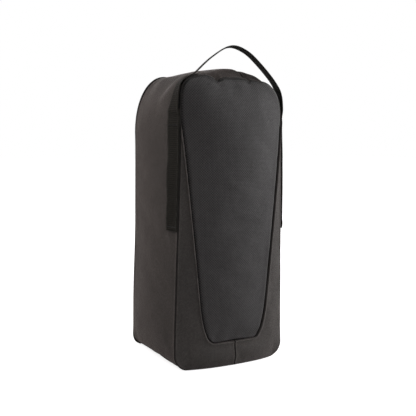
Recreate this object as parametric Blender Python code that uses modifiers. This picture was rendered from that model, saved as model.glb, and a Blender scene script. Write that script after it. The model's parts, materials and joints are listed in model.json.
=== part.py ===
"""Upright shoe bag: soft box with a zipped back door, a sewn-on webbing handle and a wrap-over gusset.

Frame: metres, +Z up, the front faces -Y. The origin is on the floor, under the middle of the base.
"""

import math
from functools import lru_cache

import bmesh
import bpy
from mathutils import Matrix, Vector

MM = 0.001

# Driving dimensions of the body
SEAM_HEIGHT = 0.376  # top of the front outline
BACK_SEAM_HEIGHT = 0.3845
FRONT_Y = -0.068  # plane of the seam round the front
BACK_Y = 0.068  # plane of the zip round the back
FRONT_HALF_LOW, FRONT_HALF_TOP = 0.0820, 0.0740  # the front narrows upwards
BACK_HALF = 0.0765
FOOT_RADIUS = 0.022
FRONT_CORNER = (0.031, 0.050)  # run and rise of the elliptical shoulders
BACK_CORNER = (0.045, 0.079)
SIDE_CROWN = 0.005  # how far the side fabric bulges between its seams
TOP_CROWN = 0.012
FRONT_BULGE = 0.014
BACK_BULGE = 0.006
SEWN_GAP = 0.4 * MM  # left between pieces that are sewn edge to edge
FABRIC = 1.4 * MM
GUSSET_FABRIC = 1.2 * MM

# Tapered centre panel of the front: its bottom edge, its corner and its tip at the shoulder
INSET_PANEL_BOTTOM = 0.0345
INSET_PANEL_RUN = 0.030
INSET_PANEL_BEND = (0.0505, 0.090)
INSET_PANEL_TIP = (0.0735, 0.3260)

# Webbing handle
WEB_WIDTH = 0.0225
WEB_THICKNESS = 1.5 * MM
WEB_Y = -0.058
LEG_BOTTOM, LEG_TOP = 0.182, 0.3202
SWING_Z = 0.332  # height of the line that the free loop swings about
LOOP_HALF_SPAN = 0.0830
LOOP_TOP = 0.4200

# Zip, as insets from the back outline
TAPE_THICKNESS = 0.8 * MM
GUSSET_TAPE_EDGE = 9.0 * MM
GUSSET_COIL = (8.3 * MM, 11.2 * MM)
DOOR_COIL = (11.5 * MM, 14.4 * MM)
DOOR_TAPE = (13.7 * MM, 22.0 * MM)
COIL_HEIGHT = 1.9 * MM
DOOR_EDGE = 17.5 * MM
DOOR_BOTTOM = 0.0222
SILL_TOP = 0.0212
ZIP_START = 0.0310  # height where both coils begin
SLIDER_Z = 0.067
LAYER_GAP = 0.3 * MM

BOTTOM_STEPS, FOOT_STEPS, SIDE_STEPS, SHOULDER_STEPS, TOP_STEPS = 5, 5, 10, 9, 5
MIRROR_X = Matrix.Scale(-1, 4, Vector((1, 0, 0)))


# ---------------------------------------------------------------- materials

def material(name, colour, roughness, metallic=0.0):
    made = bpy.data.materials.new(name)
    made.use_nodes = True
    shader = made.node_tree.nodes["Principled BSDF"]
    shader.inputs["Base Color"].default_value = (*colour, 1)
    shader.inputs["Roughness"].default_value = roughness
    shader.inputs["Metallic"].default_value = metallic
    return made


# ---------------------------------------------------------------- shape of the bag

def mix(low, high, share):
    return low + (high - low) * share


def depth_share(y):
    return min(max((y - FRONT_Y) / (BACK_Y - FRONT_Y), 0), 1)


def half_width(y, z):
    """Half the width of the outline at depth y and height z, below its shoulders."""
    front = mix(FRONT_HALF_LOW, FRONT_HALF_TOP, z / SEAM_HEIGHT)
    return mix(front, BACK_HALF, depth_share(y))


@lru_cache(maxsize=None)
def outline_half(y):
    """Right half of the bag's outline at depth y, from the bottom centre to the top centre, as (x, z) vectors."""
    share = depth_share(y)
    run = mix(FRONT_CORNER[0], BACK_CORNER[0], share)
    rise = mix(FRONT_CORNER[1], BACK_CORNER[1], share)
    foot_x = half_width(y, 0) - FOOT_RADIUS
    top_z = mix(SEAM_HEIGHT, BACK_SEAM_HEIGHT, share)
    shoulder_z = top_z - rise
    shoulder_x = half_width(y, shoulder_z) - run
    points = [(foot_x * i / BOTTOM_STEPS, 0) for i in range(BOTTOM_STEPS)]
    for i in range(FOOT_STEPS):
        turn = math.pi / 2 * i / FOOT_STEPS
        points.append((foot_x + FOOT_RADIUS * math.sin(turn), FOOT_RADIUS * (1 - math.cos(turn))))
    for i in range(SIDE_STEPS):
        z = mix(FOOT_RADIUS, shoulder_z, i / SIDE_STEPS)
        points.append((half_width(y, z), z))
    for i in range(SHOULDER_STEPS):
        turn = math.pi / 2 * i / SHOULDER_STEPS
        points.append((shoulder_x + run * math.cos(turn), shoulder_z + rise * math.sin(turn)))
    for i in range(TOP_STEPS + 1):
        points.append((shoulder_x * (1 - i / TOP_STEPS), top_z))
    return [Vector(point) for point in points]


FIRST_FOOT = BOTTOM_STEPS
FIRST_SIDE = BOTTOM_STEPS + FOOT_STEPS


@lru_cache(maxsize=None)
def outward(y, station):
    """The outline's outward direction at a station. The bag stands flat, so it is straight down along the base."""
    if station <= FIRST_FOOT:
        return Vector((0, -1))
    points = outline_half(y)
    last = station == len(points) - 1
    after = Vector((-points[station - 1].x, points[station].y)) if last else points[station + 1]
    along = after - points[station - 1]
    return Vector((along.y, -along.x)).normalized()


def crown_profile(y):
    """0 at the front and back seams, 1 over most of the depth between them."""
    return 1 - abs(2 * depth_share(y) - 1) ** 4


def crown(y, normal):
    return crown_profile(y) * (SIDE_CROWN * normal.x ** 2 + TOP_CROWN * max(normal.y, 0) ** 2)


def place(station, inset, y):
    """The point this far inside the bag's skin, at a station of the right half outline and at depth y."""
    normal = outward(y, station)
    at = outline_half(y)[station] + normal * (crown(y, normal) - inset)
    return Vector((at.x, y, at.y))


def edge_x(y, z, inset=0.0):
    """How far from the middle the outline, taken in by inset, lies at height z."""
    points = [outline_half(y)[i] - outward(y, i) * inset for i in range(len(outline_half(y)))]
    for low, high in zip(points[1:], points[2:]):
        if low.y <= z <= high.y and high.y > low.y:
            return mix(low.x, high.x, (z - low.y) / (high.y - low.y))
    return points[-2].x


def front_y(x, z):
    """The front's outer surface: it springs up at its seams and is nearly flat between them."""
    across = min(abs(x) / edge_x(FRONT_Y, z), 1)
    up = abs(2 * z / SEAM_HEIGHT - 1)
    return FRONT_Y - FRONT_BULGE * (1 - across ** 4) * (1 - min(up, 1) ** 10)


def back_y(x, z, base):
    across = min(abs(x) / (edge_x(BACK_Y, z) - DOOR_EDGE), 1)
    up = min(abs(2 * (z - DOOR_BOTTOM) / (BACK_SEAM_HEIGHT - DOOR_EDGE - DOOR_BOTTOM) - 1), 1)
    return base + BACK_BULGE * (1 - across ** 3) * (1 - up ** 6)


def inset_panel_curve():
    """Right half of the centre panel's lower seam: a level run, a bend and a straight rise, as (x, z) vectors."""
    start = Vector((INSET_PANEL_RUN, INSET_PANEL_BOTTOM))
    end, tip = Vector(INSET_PANEL_BEND), Vector(INSET_PANEL_TIP)
    rise = (tip - end).normalized()
    handles = (start, start + Vector((8 * MM, 0)), end - rise * 35 * MM, end)
    points = [Vector((INSET_PANEL_RUN * i / 3, INSET_PANEL_BOTTOM)) for i in range(3)]
    points += [bezier(handles, i / 8) for i in range(8)]
    return points + [end.lerp(tip, i / 9) for i in range(10)]


def bezier(handles, t):
    a, b, c, d = handles
    return a * (1 - t) ** 3 + b * 3 * t * (1 - t) ** 2 + c * 3 * t * t * (1 - t) + d * t ** 3


def taken_in(points, gap):
    """A rising (x, z) curve moved this far up and towards the middle, square to itself."""
    moved = []
    for i, point in enumerate(points):
        along = points[min(i + 1, len(points) - 1)] - points[max(i - 1, 0)]
        moved.append(point + Vector((-along.y, along.x)).normalized() * gap)
    return moved


def running_lengths(points):
    lengths = [0.0]
    for a, b in zip(points, points[1:]):
        lengths.append(lengths[-1] + (b - a).length)
    return lengths


def resample(points, shares):
    """The points at these shares of a polyline's length."""
    lengths = running_lengths(points)
    found = []
    for share in shares:
        goal = share * lengths[-1]
        i = max(k for k in range(len(points) - 1) if lengths[k] <= goal + 1e-12)
        found.append(points[i].lerp(points[i + 1], (goal - lengths[i]) / (lengths[i + 1] - lengths[i])))
    return found


# ---------------------------------------------------------------- solids

def add_object(name, mesh, finish, smooth=True):
    obj = bpy.data.objects.new(name, mesh)
    mesh.materials.append(finish)
    parts.objects.link(obj)
    if smooth:
        mesh.shade_smooth()
        mesh.set_sharp_from_angle(angle=math.radians(40))
    return obj


def sheet(name, rows, thickness, finish, mirrored=False):
    """A piece of cloth: a grid of points, thickened inwards from its outer face."""
    grid = bmesh.new()
    made = [[grid.verts.new(point) for point in row] for row in rows]
    for low, high in zip(made, made[1:]):
        for i in range(len(low) - 1):
            grid.faces.new((low[i], low[i + 1], high[i + 1], high[i]))
    if mirrored:
        grid.transform(MIRROR_X)
        bmesh.ops.reverse_faces(grid, faces=grid.faces)
    mesh = bpy.data.meshes.new(name)
    grid.to_mesh(mesh)
    grid.free()
    obj = add_object(name, mesh, finish)
    cloth = obj.modifiers.new("cloth", "SOLIDIFY")
    cloth.thickness = thickness
    cloth.offset = -1
    cloth.use_even_offset = True
    return obj


def sweep(name, rings, finish):
    """A closed solid through rings with the same number of points, capped at both ends."""
    body = bmesh.new()
    made = [[body.verts.new(point) for point in ring] for ring in rings]
    count = len(made[0])
    for low, high in zip(made, made[1:]):
        for i in range(count):
            body.faces.new((low[i], low[(i + 1) % count], high[(i + 1) % count], high[i]))
    body.faces.new(reversed(made[0]))
    body.faces.new(made[-1])
    bmesh.ops.recalc_face_normals(body, faces=body.faces)
    mesh = bpy.data.meshes.new(name)
    body.to_mesh(mesh)
    body.free()
    return add_object(name, mesh, finish)


def over_the_top(name, first, section, finish):
    """Carries an (inset, y) section from a station on the right, over the top, to its twin on the left."""
    stations = range(first, len(outline_half(BACK_Y)))
    right = [[place(s, inset, y) for inset, y in section] for s in stations]
    left = [[Vector((-p.x, p.y, p.z)) for p in ring] for ring in reversed(right[:-1])]
    return sweep(name, right + left, finish)


def block(name, low, high, finish, bevel=0.0, parent=None):
    """A box between two corners, with its edges rounded."""
    low, high = Vector(low), Vector(high)
    box = bmesh.new()
    bmesh.ops.create_cube(box, size=1)
    bmesh.ops.scale(box, vec=high - low, verts=box.verts)
    mesh = bpy.data.meshes.new(name)
    box.to_mesh(mesh)
    box.free()
    obj = add_object(name, mesh, finish)
    obj.location = (low + high) / 2
    obj.parent = parent
    if bevel:
        round_off = obj.modifiers.new("rounded", "BEVEL")
        round_off.width = bevel
        round_off.segments = 2
    return obj


def cut(obj, cutter, operation="DIFFERENCE"):
    """Cuts or joins with a helper, which is kept out of the model."""
    cutter.hide_render = True
    cutter.display_type = "WIRE"
    parts.objects.unlink(cutter)
    cutters.objects.link(cutter)
    boolean = obj.modifiers.new("cut", "BOOLEAN")
    boolean.operation = operation
    boolean.object = cutter


# ---------------------------------------------------------------- front and gusset

def front_centre_panel(finish):
    """The tapered panel: its right edge follows the inset seam, then the shoulder; the left edge mirrors it."""
    edge = taken_in(inset_panel_curve(), SEWN_GAP)[3:-1]
    tip_z = INSET_PANEL_TIP[1]
    half = outline_half(FRONT_Y)
    inner = [half[i] - outward(FRONT_Y, i) * SEWN_GAP for i in range(len(half))]
    shoulder = [p for p in inner if p.y > tip_z + 2 * MM and p.x > half[-1 - TOP_STEPS].x - MM]
    rows = []
    for p in edge + [Vector((edge_x(FRONT_Y, tip_z, 2 * SEWN_GAP), tip_z))] + shoulder:
        xs = [p.x * (2 * i / 14 - 1) for i in range(15)]
        rows.append([Vector((x, front_y(x, p.y), p.y)) for x in xs])
    return sheet("front_centre_panel", rows, FABRIC, finish)


def front_wing(name, finish, mirrored):
    """The plain fabric beside and under the centre panel, lofted from the inset seam to the outline."""
    seam = inset_panel_curve()
    lengths = running_lengths(seam)
    inner = seam[:-1] + [seam[-2].lerp(seam[-1], 0.8)]
    shares = [length / lengths[-1] for length in running_lengths(inner)]
    tip_z = INSET_PANEL_TIP[1]
    half = outline_half(FRONT_Y)
    rim = [half[i] - outward(FRONT_Y, i) * SEWN_GAP for i in range(len(half)) if half[i].y < tip_z]
    outer = resample(rim + [Vector((edge_x(FRONT_Y, tip_z, SEWN_GAP), tip_z))], shares)
    rows = []
    for near, far in zip(inner, outer):
        near = near + (far - near).normalized() * SEWN_GAP
        line = [near.lerp(far, i / 5) for i in range(6)]
        line = [Vector((max(p.x, SEWN_GAP / 2), p.y)) for p in line]
        rows.append([Vector((p.x, front_y(p.x, p.y), p.y)) for p in reversed(line)])
    return sheet(name, rows, FABRIC, finish, mirrored)


def gusset_band(finish):
    """One strip up the left side, over the top and down the right side."""
    low, high = FRONT_Y + 2.0 * MM, BACK_Y - 2.8 * MM
    depths = [mix(low, high, (1 - math.cos(math.pi * i / 10)) / 2) for i in range(11)]
    section = [(0, y) for y in depths] + [(GUSSET_FABRIC, y) for y in reversed(depths)]
    return over_the_top("gusset_band", FIRST_FOOT, section, finish)


def seam_binding(name, near, far, finish):
    """Tape folded over the raw edges of a seam, inside the bag."""
    outer, inner = 2.2 * MM, 3.4 * MM
    section = [(outer, near), (outer, far), (inner, far), (inner, near)]
    return over_the_top(name, FIRST_FOOT, section, finish)


def base_panel(finish):
    """Flat on the floor, between the two ends of the gusset band."""
    rows = []
    for i in range(7):
        y = mix(FRONT_Y + 2.0 * MM, BACK_Y + 0.3 * MM, i / 6)
        reach = outline_half(y)[FIRST_FOOT].x - SEWN_GAP
        rows.append([Vector((reach * (1 - k / 4), y, 0)) for k in range(9)])
    return sheet("base_panel", rows, FABRIC, finish)


# ---------------------------------------------------------------- handle

def side_point(y, z, lift):
    x = half_width(y, z) + SIDE_CROWN * crown_profile(y) + lift
    return Vector((x, y, z))


def handle_leg(name, finish, mirrored):
    """The sewn-down end of the webbing, lying on the side of the bag."""
    lift = LAYER_GAP + WEB_THICKNESS
    rows = []
    for i in range(8):
        z = mix(LEG_BOTTOM, LEG_TOP, i / 7)
        ys = [WEB_Y + WEB_WIDTH * (k / 4 - 0.5) for k in range(5)]
        rows.append([side_point(y, z, lift) for y in ys])
    return sheet(name, rows, WEB_THICKNESS, finish, mirrored)


def bartack(name, z, sign, finish):
    """A dense bar of stitches across the webbing."""
    x = side_point(WEB_Y + 8 * MM, z, LAYER_GAP + WEB_THICKNESS).x + LAYER_GAP
    low = (x, WEB_Y - 8 * MM, z - MM)
    high = (x + 0.6 * MM, WEB_Y + 8 * MM, z + MM)
    if sign < 0:
        low, high = (-high[0], low[1], low[2]), (-low[0], high[1], high[2])
    return block(name, low, high, finish)


def handle_loop(finish):
    """The free part of the webbing. Its ends are round about the line that it swings on."""
    start = Vector((LOOP_HALF_SPAN, SWING_Z + MM))
    handles = (start, Vector((LOOP_HALF_SPAN, 0.366)), Vector((0.038, LOOP_TOP)), Vector((0, LOOP_TOP)))
    half = WEB_WIDTH / 2
    right = []
    for below in (10.7, 9.6, 7.6, 4.6, 0.0):
        width = math.sqrt(half ** 2 - (below * MM) ** 2)
        right.append((Vector((LOOP_HALF_SPAN, SWING_Z - below * MM)), width))
    right += [(bezier(handles, i / 14), half) for i in range(15)]
    left = [(Vector((-p.x, p.y)), width) for p, width in reversed(right[:-1])]
    rows = []
    for p, width in right + left:
        rows.append([Vector((p.x, WEB_Y + width * side, p.y)) for side in (-1, -0.33, 0.33, 1)])
    obj = sheet("handle_loop", rows, WEB_THICKNESS, finish)
    obj.modifiers["cloth"].offset = 0
    return obj


# ---------------------------------------------------------------- zip and back door

def zip_tape_on_gusset(finish):
    """Sewn to the gusset's rear edge: it turns the corner from the side on to the back."""
    back, inside = BACK_Y + 0.4 * MM, BACK_Y + 0.4 * MM - TAPE_THICKNESS
    section = [
        (0, BACK_Y - 2.4 * MM), (0, BACK_Y - 0.6 * MM), (MM, back), (GUSSET_TAPE_EDGE, back),
        (GUSSET_TAPE_EDGE, inside), (1.4 * MM, inside), (0.8 * MM, BACK_Y - MM), (0.8 * MM, BACK_Y - 2.4 * MM),
    ]
    return over_the_top("zip_tape_gusset", FIRST_FOOT, section, finish)


def clipped_over_top(name, insets, low_y, high_y, start_z, finish):
    """A strip of the zip with a chamfered face, running up from start_z, over the top and down again."""
    near, far = insets
    chamfer = 0.35 * (high_y - low_y)
    section = [
        (near, low_y), (near, high_y - chamfer), (near + chamfer, high_y),
        (far - chamfer, high_y), (far, high_y - chamfer), (far, low_y),
    ]
    right = [[Vector((BACK_HALF - inset, y, start_z)) for inset, y in section]]
    for s in range(FIRST_SIDE + 1, len(outline_half(BACK_Y))):
        right.append([place(s, inset, BACK_Y) + Vector((0, y - BACK_Y, 0)) for inset, y in section])
    left = [[Vector((-p.x, p.y, p.z)) for p in ring] for ring in reversed(right[:-1])]
    return sweep(name, right + left, finish)


def back_sill(finish):
    """The fixed strip of the back, below the fold line that the door turns on."""
    outer = BACK_Y + 1.9 * MM
    rows = []
    for i in range(7):
        z = mix(1.5 * MM, SILL_TOP, i / 6)
        reach = edge_x(BACK_Y, z, 1.5 * MM)
        rows.append([Vector((reach * (1 - k / 5), outer, z)) for k in range(11)])
    return sheet("back_sill", rows, GUSSET_FABRIC, finish)


def back_door_panel(finish):
    """The back of the bag, inside the zip. It bulges a little and ends straight at the fold line."""
    outer = BACK_Y + 1.9 * MM
    half = outline_half(BACK_Y)
    rim = [half[i] - outward(BACK_Y, i) * DOOR_EDGE for i in range(FIRST_SIDE + 1, len(half) - TOP_STEPS)]
    rim = [Vector((BACK_HALF - DOOR_EDGE, DOOR_BOTTOM))] + rim
    rows = []
    for p in rim:
        xs = [p.x * (1 - 2 * i / 12) for i in range(13)]
        rows.append([Vector((x, back_y(x, p.y, outer), p.y)) for x in xs])
    return sheet("back_door_panel", rows, GUSSET_FABRIC, finish)


def zip_stop(name, sign, finish):
    """The moulded end of the coil on the gusset's side."""
    near, far = (sign * (BACK_HALF - inset) for inset in GUSSET_COIL)
    z = ZIP_START - LAYER_GAP
    low = (min(near, far), BACK_Y + 0.7 * MM, z - 4 * MM)
    high = (max(near, far), BACK_Y + 3.0 * MM, z)
    return block(name, low, high, finish, 0.4 * MM)


def zip_slider(finish):
    """Cap over both coils, with a bridge that the pull hangs from. Its origin is in the middle of the coils."""
    frame = bpy.data.objects.new("slider_frame", None)
    parts.objects.link(frame)
    frame.location = (BACK_HALF - (GUSSET_COIL[1] + DOOR_COIL[0]) / 2, BACK_Y, SLIDER_Z)
    body = block("slider_body", (-4.6 * MM, 0.75 * MM, -6 * MM), (4.6 * MM, 4.2 * MM, 6 * MM), finish, 0, frame)
    channel = block("slider_channel", (-3.4 * MM, -MM, -8 * MM), (3.4 * MM, 2.95 * MM, 8 * MM), finish, 0, frame)
    cut(body, channel)
    bridge = block("slider_bridge", (-1.1 * MM, 3.9 * MM, -4.6 * MM), (1.1 * MM, 8.2 * MM, 4.6 * MM), finish, 0, frame)
    window = block("slider_window", (-2 * MM, 4.4 * MM, -3.4 * MM), (2 * MM, 7.0 * MM, 3.4 * MM), finish, 0, frame)
    cut(body, bridge, "UNION")
    cut(body, window)
    return frame


PULL_AXIS_LIFT = 5.6 * MM  # from the zip's plane out to the pull's cross bar


def pull(tab_finish, grip_finish, slider_frame):
    """Tab with a window for the bridge, and a moulded grip below it. Both turn about the tab's cross bar."""
    axis = bpy.data.objects.new("pull_axis", None)
    parts.objects.link(axis)
    axis.parent = slider_frame
    axis.location = (0, PULL_AXIS_LIFT, 0)
    tab = block("pull_tab", (-3.4 * MM, -0.7 * MM, -17 * MM), (3.4 * MM, 0.7 * MM, 0.7 * MM), tab_finish, 0, axis)
    window = block("tab_window", (-1.8 * MM, -2 * MM, -6.5 * MM), (1.8 * MM, 2 * MM, -0.7 * MM), tab_finish, 0, axis)
    cut(tab, window)
    grip = block("pull_grip", (-3.9 * MM, -1.6 * MM, -38 * MM), (3.9 * MM, 1.6 * MM, -17.3 * MM), grip_finish,
                 1.1 * MM, axis)
    return tab, grip


# ---------------------------------------------------------------- build

for leftover in list(bpy.data.objects):
    bpy.data.objects.remove(leftover)

parts = bpy.data.collections.new("shoe_bag")
cutters = bpy.data.collections.new("cutters")
for group in (parts, cutters):
    bpy.context.scene.collection.children.link(group)

shell_fabric = material("shell_fabric", (0.045, 0.038, 0.035), 0.75)
front_fabric = material("front_fabric", (0.036, 0.033, 0.034), 0.85)
webbing = material("webbing", (0.014, 0.013, 0.010), 0.7)
zip_fabric = material("zip_fabric", (0.010, 0.010, 0.010), 0.85)
binding_fabric = material("binding_fabric", (0.012, 0.012, 0.012), 0.8)
coil_nylon = material("coil_nylon", (0.012, 0.012, 0.012), 0.45)
thread = material("thread", (0.018, 0.017, 0.015), 0.6)
slider_enamel = material("slider_enamel", (0.015, 0.015, 0.015), 0.35, 0.3)
grip_rubber = material("grip_rubber", (0.015, 0.015, 0.015), 0.6)

front_centre_panel(front_fabric)
front_wing("front_wing_right", shell_fabric, False)
front_wing("front_wing_left", shell_fabric, True)
gusset_band(shell_fabric)
base_panel(shell_fabric)
seam_binding("front_seam_binding", FRONT_Y + 2.5 * MM, FRONT_Y + 11 * MM, binding_fabric)
seam_binding("back_seam_binding", BACK_Y - 11 * MM, BACK_Y - 3 * MM, binding_fabric)

handle_leg("handle_leg_right", webbing, False)
handle_leg("handle_leg_left", webbing, True)
for side, sign in (("right", 1), ("left", -1)):
    bartack(f"bartack_upper_{side}", LEG_TOP - 4 * MM, sign, thread)
    bartack(f"bartack_lower_{side}", LEG_BOTTOM + 4 * MM, sign, thread)
handle_loop(webbing)

tape_back = BACK_Y + 0.4 * MM
coil_back = BACK_Y + 0.7 * MM
zip_tape_on_gusset(zip_fabric)
clipped_over_top("zip_coil_gusset", GUSSET_COIL, coil_back, coil_back + COIL_HEIGHT, ZIP_START, coil_nylon)
zip_stop("zip_stop_right", 1, coil_nylon)
zip_stop("zip_stop_left", -1, coil_nylon)
back_sill(shell_fabric)

back_door_panel(shell_fabric)
clipped_over_top("zip_tape_door", DOOR_TAPE, tape_back - TAPE_THICKNESS, tape_back, ZIP_START - 6 * MM, zip_fabric)
clipped_over_top("zip_coil_door", DOOR_COIL, coil_back, coil_back + COIL_HEIGHT, ZIP_START, coil_nylon)

slider = zip_slider(slider_enamel)
pull(slider_enamel, grip_rubber, slider)
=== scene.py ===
"""Visual model of the shoe bag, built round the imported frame: fabric, webbing, zip, light and camera.

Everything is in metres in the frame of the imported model: +Z up, the front faces -Y, the floor is at 0.
The fabric skins are grids of points. They are laid out on the frame's seam lines, blown up as cloth,
sculpted with the creases of a filled bag, and refined, with their seams pressed in.
"""

import json
import math

import bmesh
import bpy
import numpy as np
from mathutils import Matrix, Vector, noise
from mathutils.bvhtree import BVHTree


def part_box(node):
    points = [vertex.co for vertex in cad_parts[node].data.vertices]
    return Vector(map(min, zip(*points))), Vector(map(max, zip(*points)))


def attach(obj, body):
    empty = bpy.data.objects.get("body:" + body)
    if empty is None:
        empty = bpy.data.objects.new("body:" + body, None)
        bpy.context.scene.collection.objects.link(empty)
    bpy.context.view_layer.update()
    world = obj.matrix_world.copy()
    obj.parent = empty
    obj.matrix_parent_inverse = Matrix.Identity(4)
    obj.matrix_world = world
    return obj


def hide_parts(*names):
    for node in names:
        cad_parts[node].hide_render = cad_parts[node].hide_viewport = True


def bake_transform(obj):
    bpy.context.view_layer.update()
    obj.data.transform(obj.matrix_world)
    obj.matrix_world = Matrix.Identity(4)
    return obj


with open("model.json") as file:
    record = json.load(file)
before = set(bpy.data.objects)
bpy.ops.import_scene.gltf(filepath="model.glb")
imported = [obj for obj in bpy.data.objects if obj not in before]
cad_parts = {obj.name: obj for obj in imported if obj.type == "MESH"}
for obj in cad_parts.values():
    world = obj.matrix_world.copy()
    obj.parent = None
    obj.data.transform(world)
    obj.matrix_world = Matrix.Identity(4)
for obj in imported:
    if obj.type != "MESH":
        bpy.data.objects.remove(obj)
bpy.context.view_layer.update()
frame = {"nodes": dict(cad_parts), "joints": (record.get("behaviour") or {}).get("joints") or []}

MM = 0.001

# ---------------------------------------------------------------- seam lines of the frame

SEWN_GAP = 0.4 * MM
SEAM_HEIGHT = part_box("front_centre_panel")[1][2] + SEWN_GAP
BACK_SEAM_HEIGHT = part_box("zip_coil_gusset")[1][2] + 8.3 * MM
FRONT_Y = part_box("gusset_band")[0][1] - 2.0 * MM
BACK_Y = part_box("gusset_band")[1][1] + 2.8 * MM
FRONT_HALF_LOW, FRONT_HALF_TOP = 0.0827, 0.0745
BACK_HALF = 0.0765
BACK_SPREAD = 2.8 * MM
FRONT_FOOT, BACK_FOOT = 0.022, 0.018
FRONT_CORNER = (0.031, 0.050)
BACK_CORNER = (0.045, 0.079)
LEFT_SQUARENESS = 4.0  # exponent of the front's left shoulder; 2 is a plain ellipse
INSET_BOTTOM = 0.0345
INSET_RUN = 0.030
INSET_BEND = (0.0505, 0.090)

SIDE_CROWN = 5.3 * MM
TOP_CROWN = 14.5 * MM
RIGHT_CROWN = 7.5 * MM
FRONT_BULGE = 12.0 * MM
FRONT_LEAN = 1.1 * MM
SKIN = 1.1 * MM

leg_low, leg_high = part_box("handle_leg_left")
WEB_Y = (leg_low[1] + leg_high[1]) / 2
WEB_WIDTH = leg_high[1] - leg_low[1]
LEG_BOTTOM, LEG_TOP = leg_low[2], leg_high[2]
WEB_THICK = 1.3 * MM
RIB_PITCH = 2.6 * MM

FILL_FRAMES = 22
FILL_CAP = 7 * MM
WRINKLES = 0.2  # share of the cloth's fine wrinkles that is kept
FLOOR_GLOW = 0.86

FRONT_OUT, UP = np.array((0.0, -1.0, 0.0)), np.array((0.0, 0.0, 1.0))

# Stations of the right half outline: base, foot, side, shoulder and top, in cells of about 5 mm
BASE, FOOT, SIDE, SHOULDER, TOP = 14, 8, 60, 16, 14
STEPS = np.cumsum([0, BASE, FOOT, SIDE, SHOULDER, TOP])
TIP = STEPS[3]
LAST = STEPS[5]
DEPTH_CELLS = 28
WING_CELLS = 12


def mix(low, high, share):
    return low + (high - low) * share


def bump(distance, width):
    return np.exp(-(distance / width) ** 2)


def smooth(low, high, value):
    share = np.clip((value - low) / (high - low), 0, 1)
    return share * share * (3 - 2 * share)


def run_along(points):
    """Distance of each point of a polyline from its start, measured along it."""
    return np.concatenate([[0], np.cumsum(np.linalg.norm(np.diff(points, axis=0), axis=1))])


def seam_lift(x, share):
    """How far the top front seam rises and dips along its length, fading towards the back."""
    lift = -2.8 * smooth(20 * MM, 44 * MM, x)
    for at, rise, width in ((-42, 2.0, 11), (-24, -4.6, 7), (7, 0.6, 12), (23.5, -2.6, 4.5)):
        lift = lift + rise * bump(x - at * MM, width * MM)
    return lift * MM * (1 - smooth(0.0, 0.45, share))


def lifted(x, z, share):
    """Heights near the top, raised or lowered as the top seam is."""
    return z + seam_lift(x, share) * smooth(SEAM_HEIGHT - 0.03, SEAM_HEIGHT - 0.002, z)


def outline(station, share, sign=1.0, seam_lifted=True):
    """(x, z) on the outline of the bag at a station of its right half. sign -1 gives the left half."""
    station, share, sign = np.broadcast_arrays(np.asarray(station, float), share, sign)
    run = mix(FRONT_CORNER[0], BACK_CORNER[0], share)
    rise = mix(FRONT_CORNER[1], BACK_CORNER[1], share)

    def half(z):
        front = mix(FRONT_HALF_LOW, FRONT_HALF_TOP, z / SEAM_HEIGHT)
        back = BACK_HALF + BACK_SPREAD * (1 - smooth(0.060, 0.190, z))
        return mix(front, back, share)

    top_z = mix(SEAM_HEIGHT, BACK_SEAM_HEIGHT, share)
    foot = mix(FRONT_FOOT, BACK_FOOT, smooth(0.0, 0.4, share))
    part = np.clip(np.searchsorted(STEPS, station, side="right") - 1, 0, 4)
    along = (station - STEPS[part]) / (STEPS[part + 1] - STEPS[part])
    turn = along * math.pi / 2
    power = mix(np.where(sign < 0, LEFT_SQUARENESS, 2.0), 2.0, smooth(0.0, 0.45, share))
    swell = (np.cos(turn) ** power + np.sin(turn) ** power) ** (-1 / power)
    shoulder_z = top_z - rise
    shoulder_x = half(shoulder_z) - run
    foot_x = half(0) - foot
    side_z = mix(foot, shoulder_z, along)
    xs = (foot_x * along, foot_x + foot * np.sin(turn), half(side_z),
          shoulder_x + run * swell * np.cos(turn), shoulder_x * (1 - along))
    zs = (0 * along, foot * (1 - np.cos(turn)), side_z,
          shoulder_z + rise * swell * np.sin(turn), top_z + 0 * along)
    x, z = np.choose(part, xs), np.choose(part, zs)
    return sign * x, lifted(sign * x, z, share) if seam_lifted else z


def outward(station, share, sign=1.0):
    """The outline's outward direction, as (x, z)."""
    x0, z0 = outline(np.maximum(station - 0.5, 0), share, sign)
    x1, z1 = outline(np.minimum(station + 0.5, LAST), share, sign)
    length = np.hypot(x1 - x0, z1 - z0)
    return sign * (z1 - z0) / length, -sign * (x1 - x0) / length


def slump(x, z):
    """How far the foot of the front leans forward of the seam's plane, most in the middle."""
    middle = 1 - np.minimum(np.abs(x) / 66 / MM, 1) ** 2.4
    return MM * (1.5 + (2.0 + 8.0 * middle) * (1 - smooth(2 * MM, 44 * MM, z)))


def front_y(x, z):
    """The filled front: it springs up at the seams and is nearly flat between them."""
    half = mix(FRONT_HALF_LOW, FRONT_HALF_TOP, z / SEAM_HEIGHT)
    across = np.minimum(np.abs(x) / half, 1)
    up = np.minimum(np.abs(2 * z / SEAM_HEIGHT - 1), 1)
    return FRONT_Y - slump(x, z) - FRONT_BULGE * (1 - across ** 3.2) * (1 - up ** 9)


def inset_seam(count):
    """The centre panel's seam, right half: level, round the bend, then straight up to the shoulder."""
    tip = np.array(outline(TIP, 0.0))
    start, bend = np.array((INSET_RUN, INSET_BOTTOM)), np.array(INSET_BEND)
    rise = (tip - bend) / np.linalg.norm(tip - bend)
    handles = (start, start + (9 * MM, 0), bend - rise * 37 * MM, bend)
    share = np.linspace(0, 1, 40)[:, None]
    weights = [k * (1 - share) ** (3 - i) * share ** i for i, k in enumerate((1, 3, 3, 1))]
    curve = sum(weight * handle for weight, handle in zip(weights, handles))
    curve = np.vstack([curve, mix(bend, tip, np.linspace(0, 1, 200)[1:, None])])
    length = run_along(curve)
    goals = np.linspace(0, length[-1], count + 1)
    return np.stack([np.interp(goals, length, curve[:, i]) for i in (0, 1)], axis=1)


def on_front(xz):
    return np.stack([xz[..., 0], front_y(xz[..., 0], xz[..., 1]), xz[..., 1]], axis=-1)


# ---------------------------------------------------------------- the skins before they are filled

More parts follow.
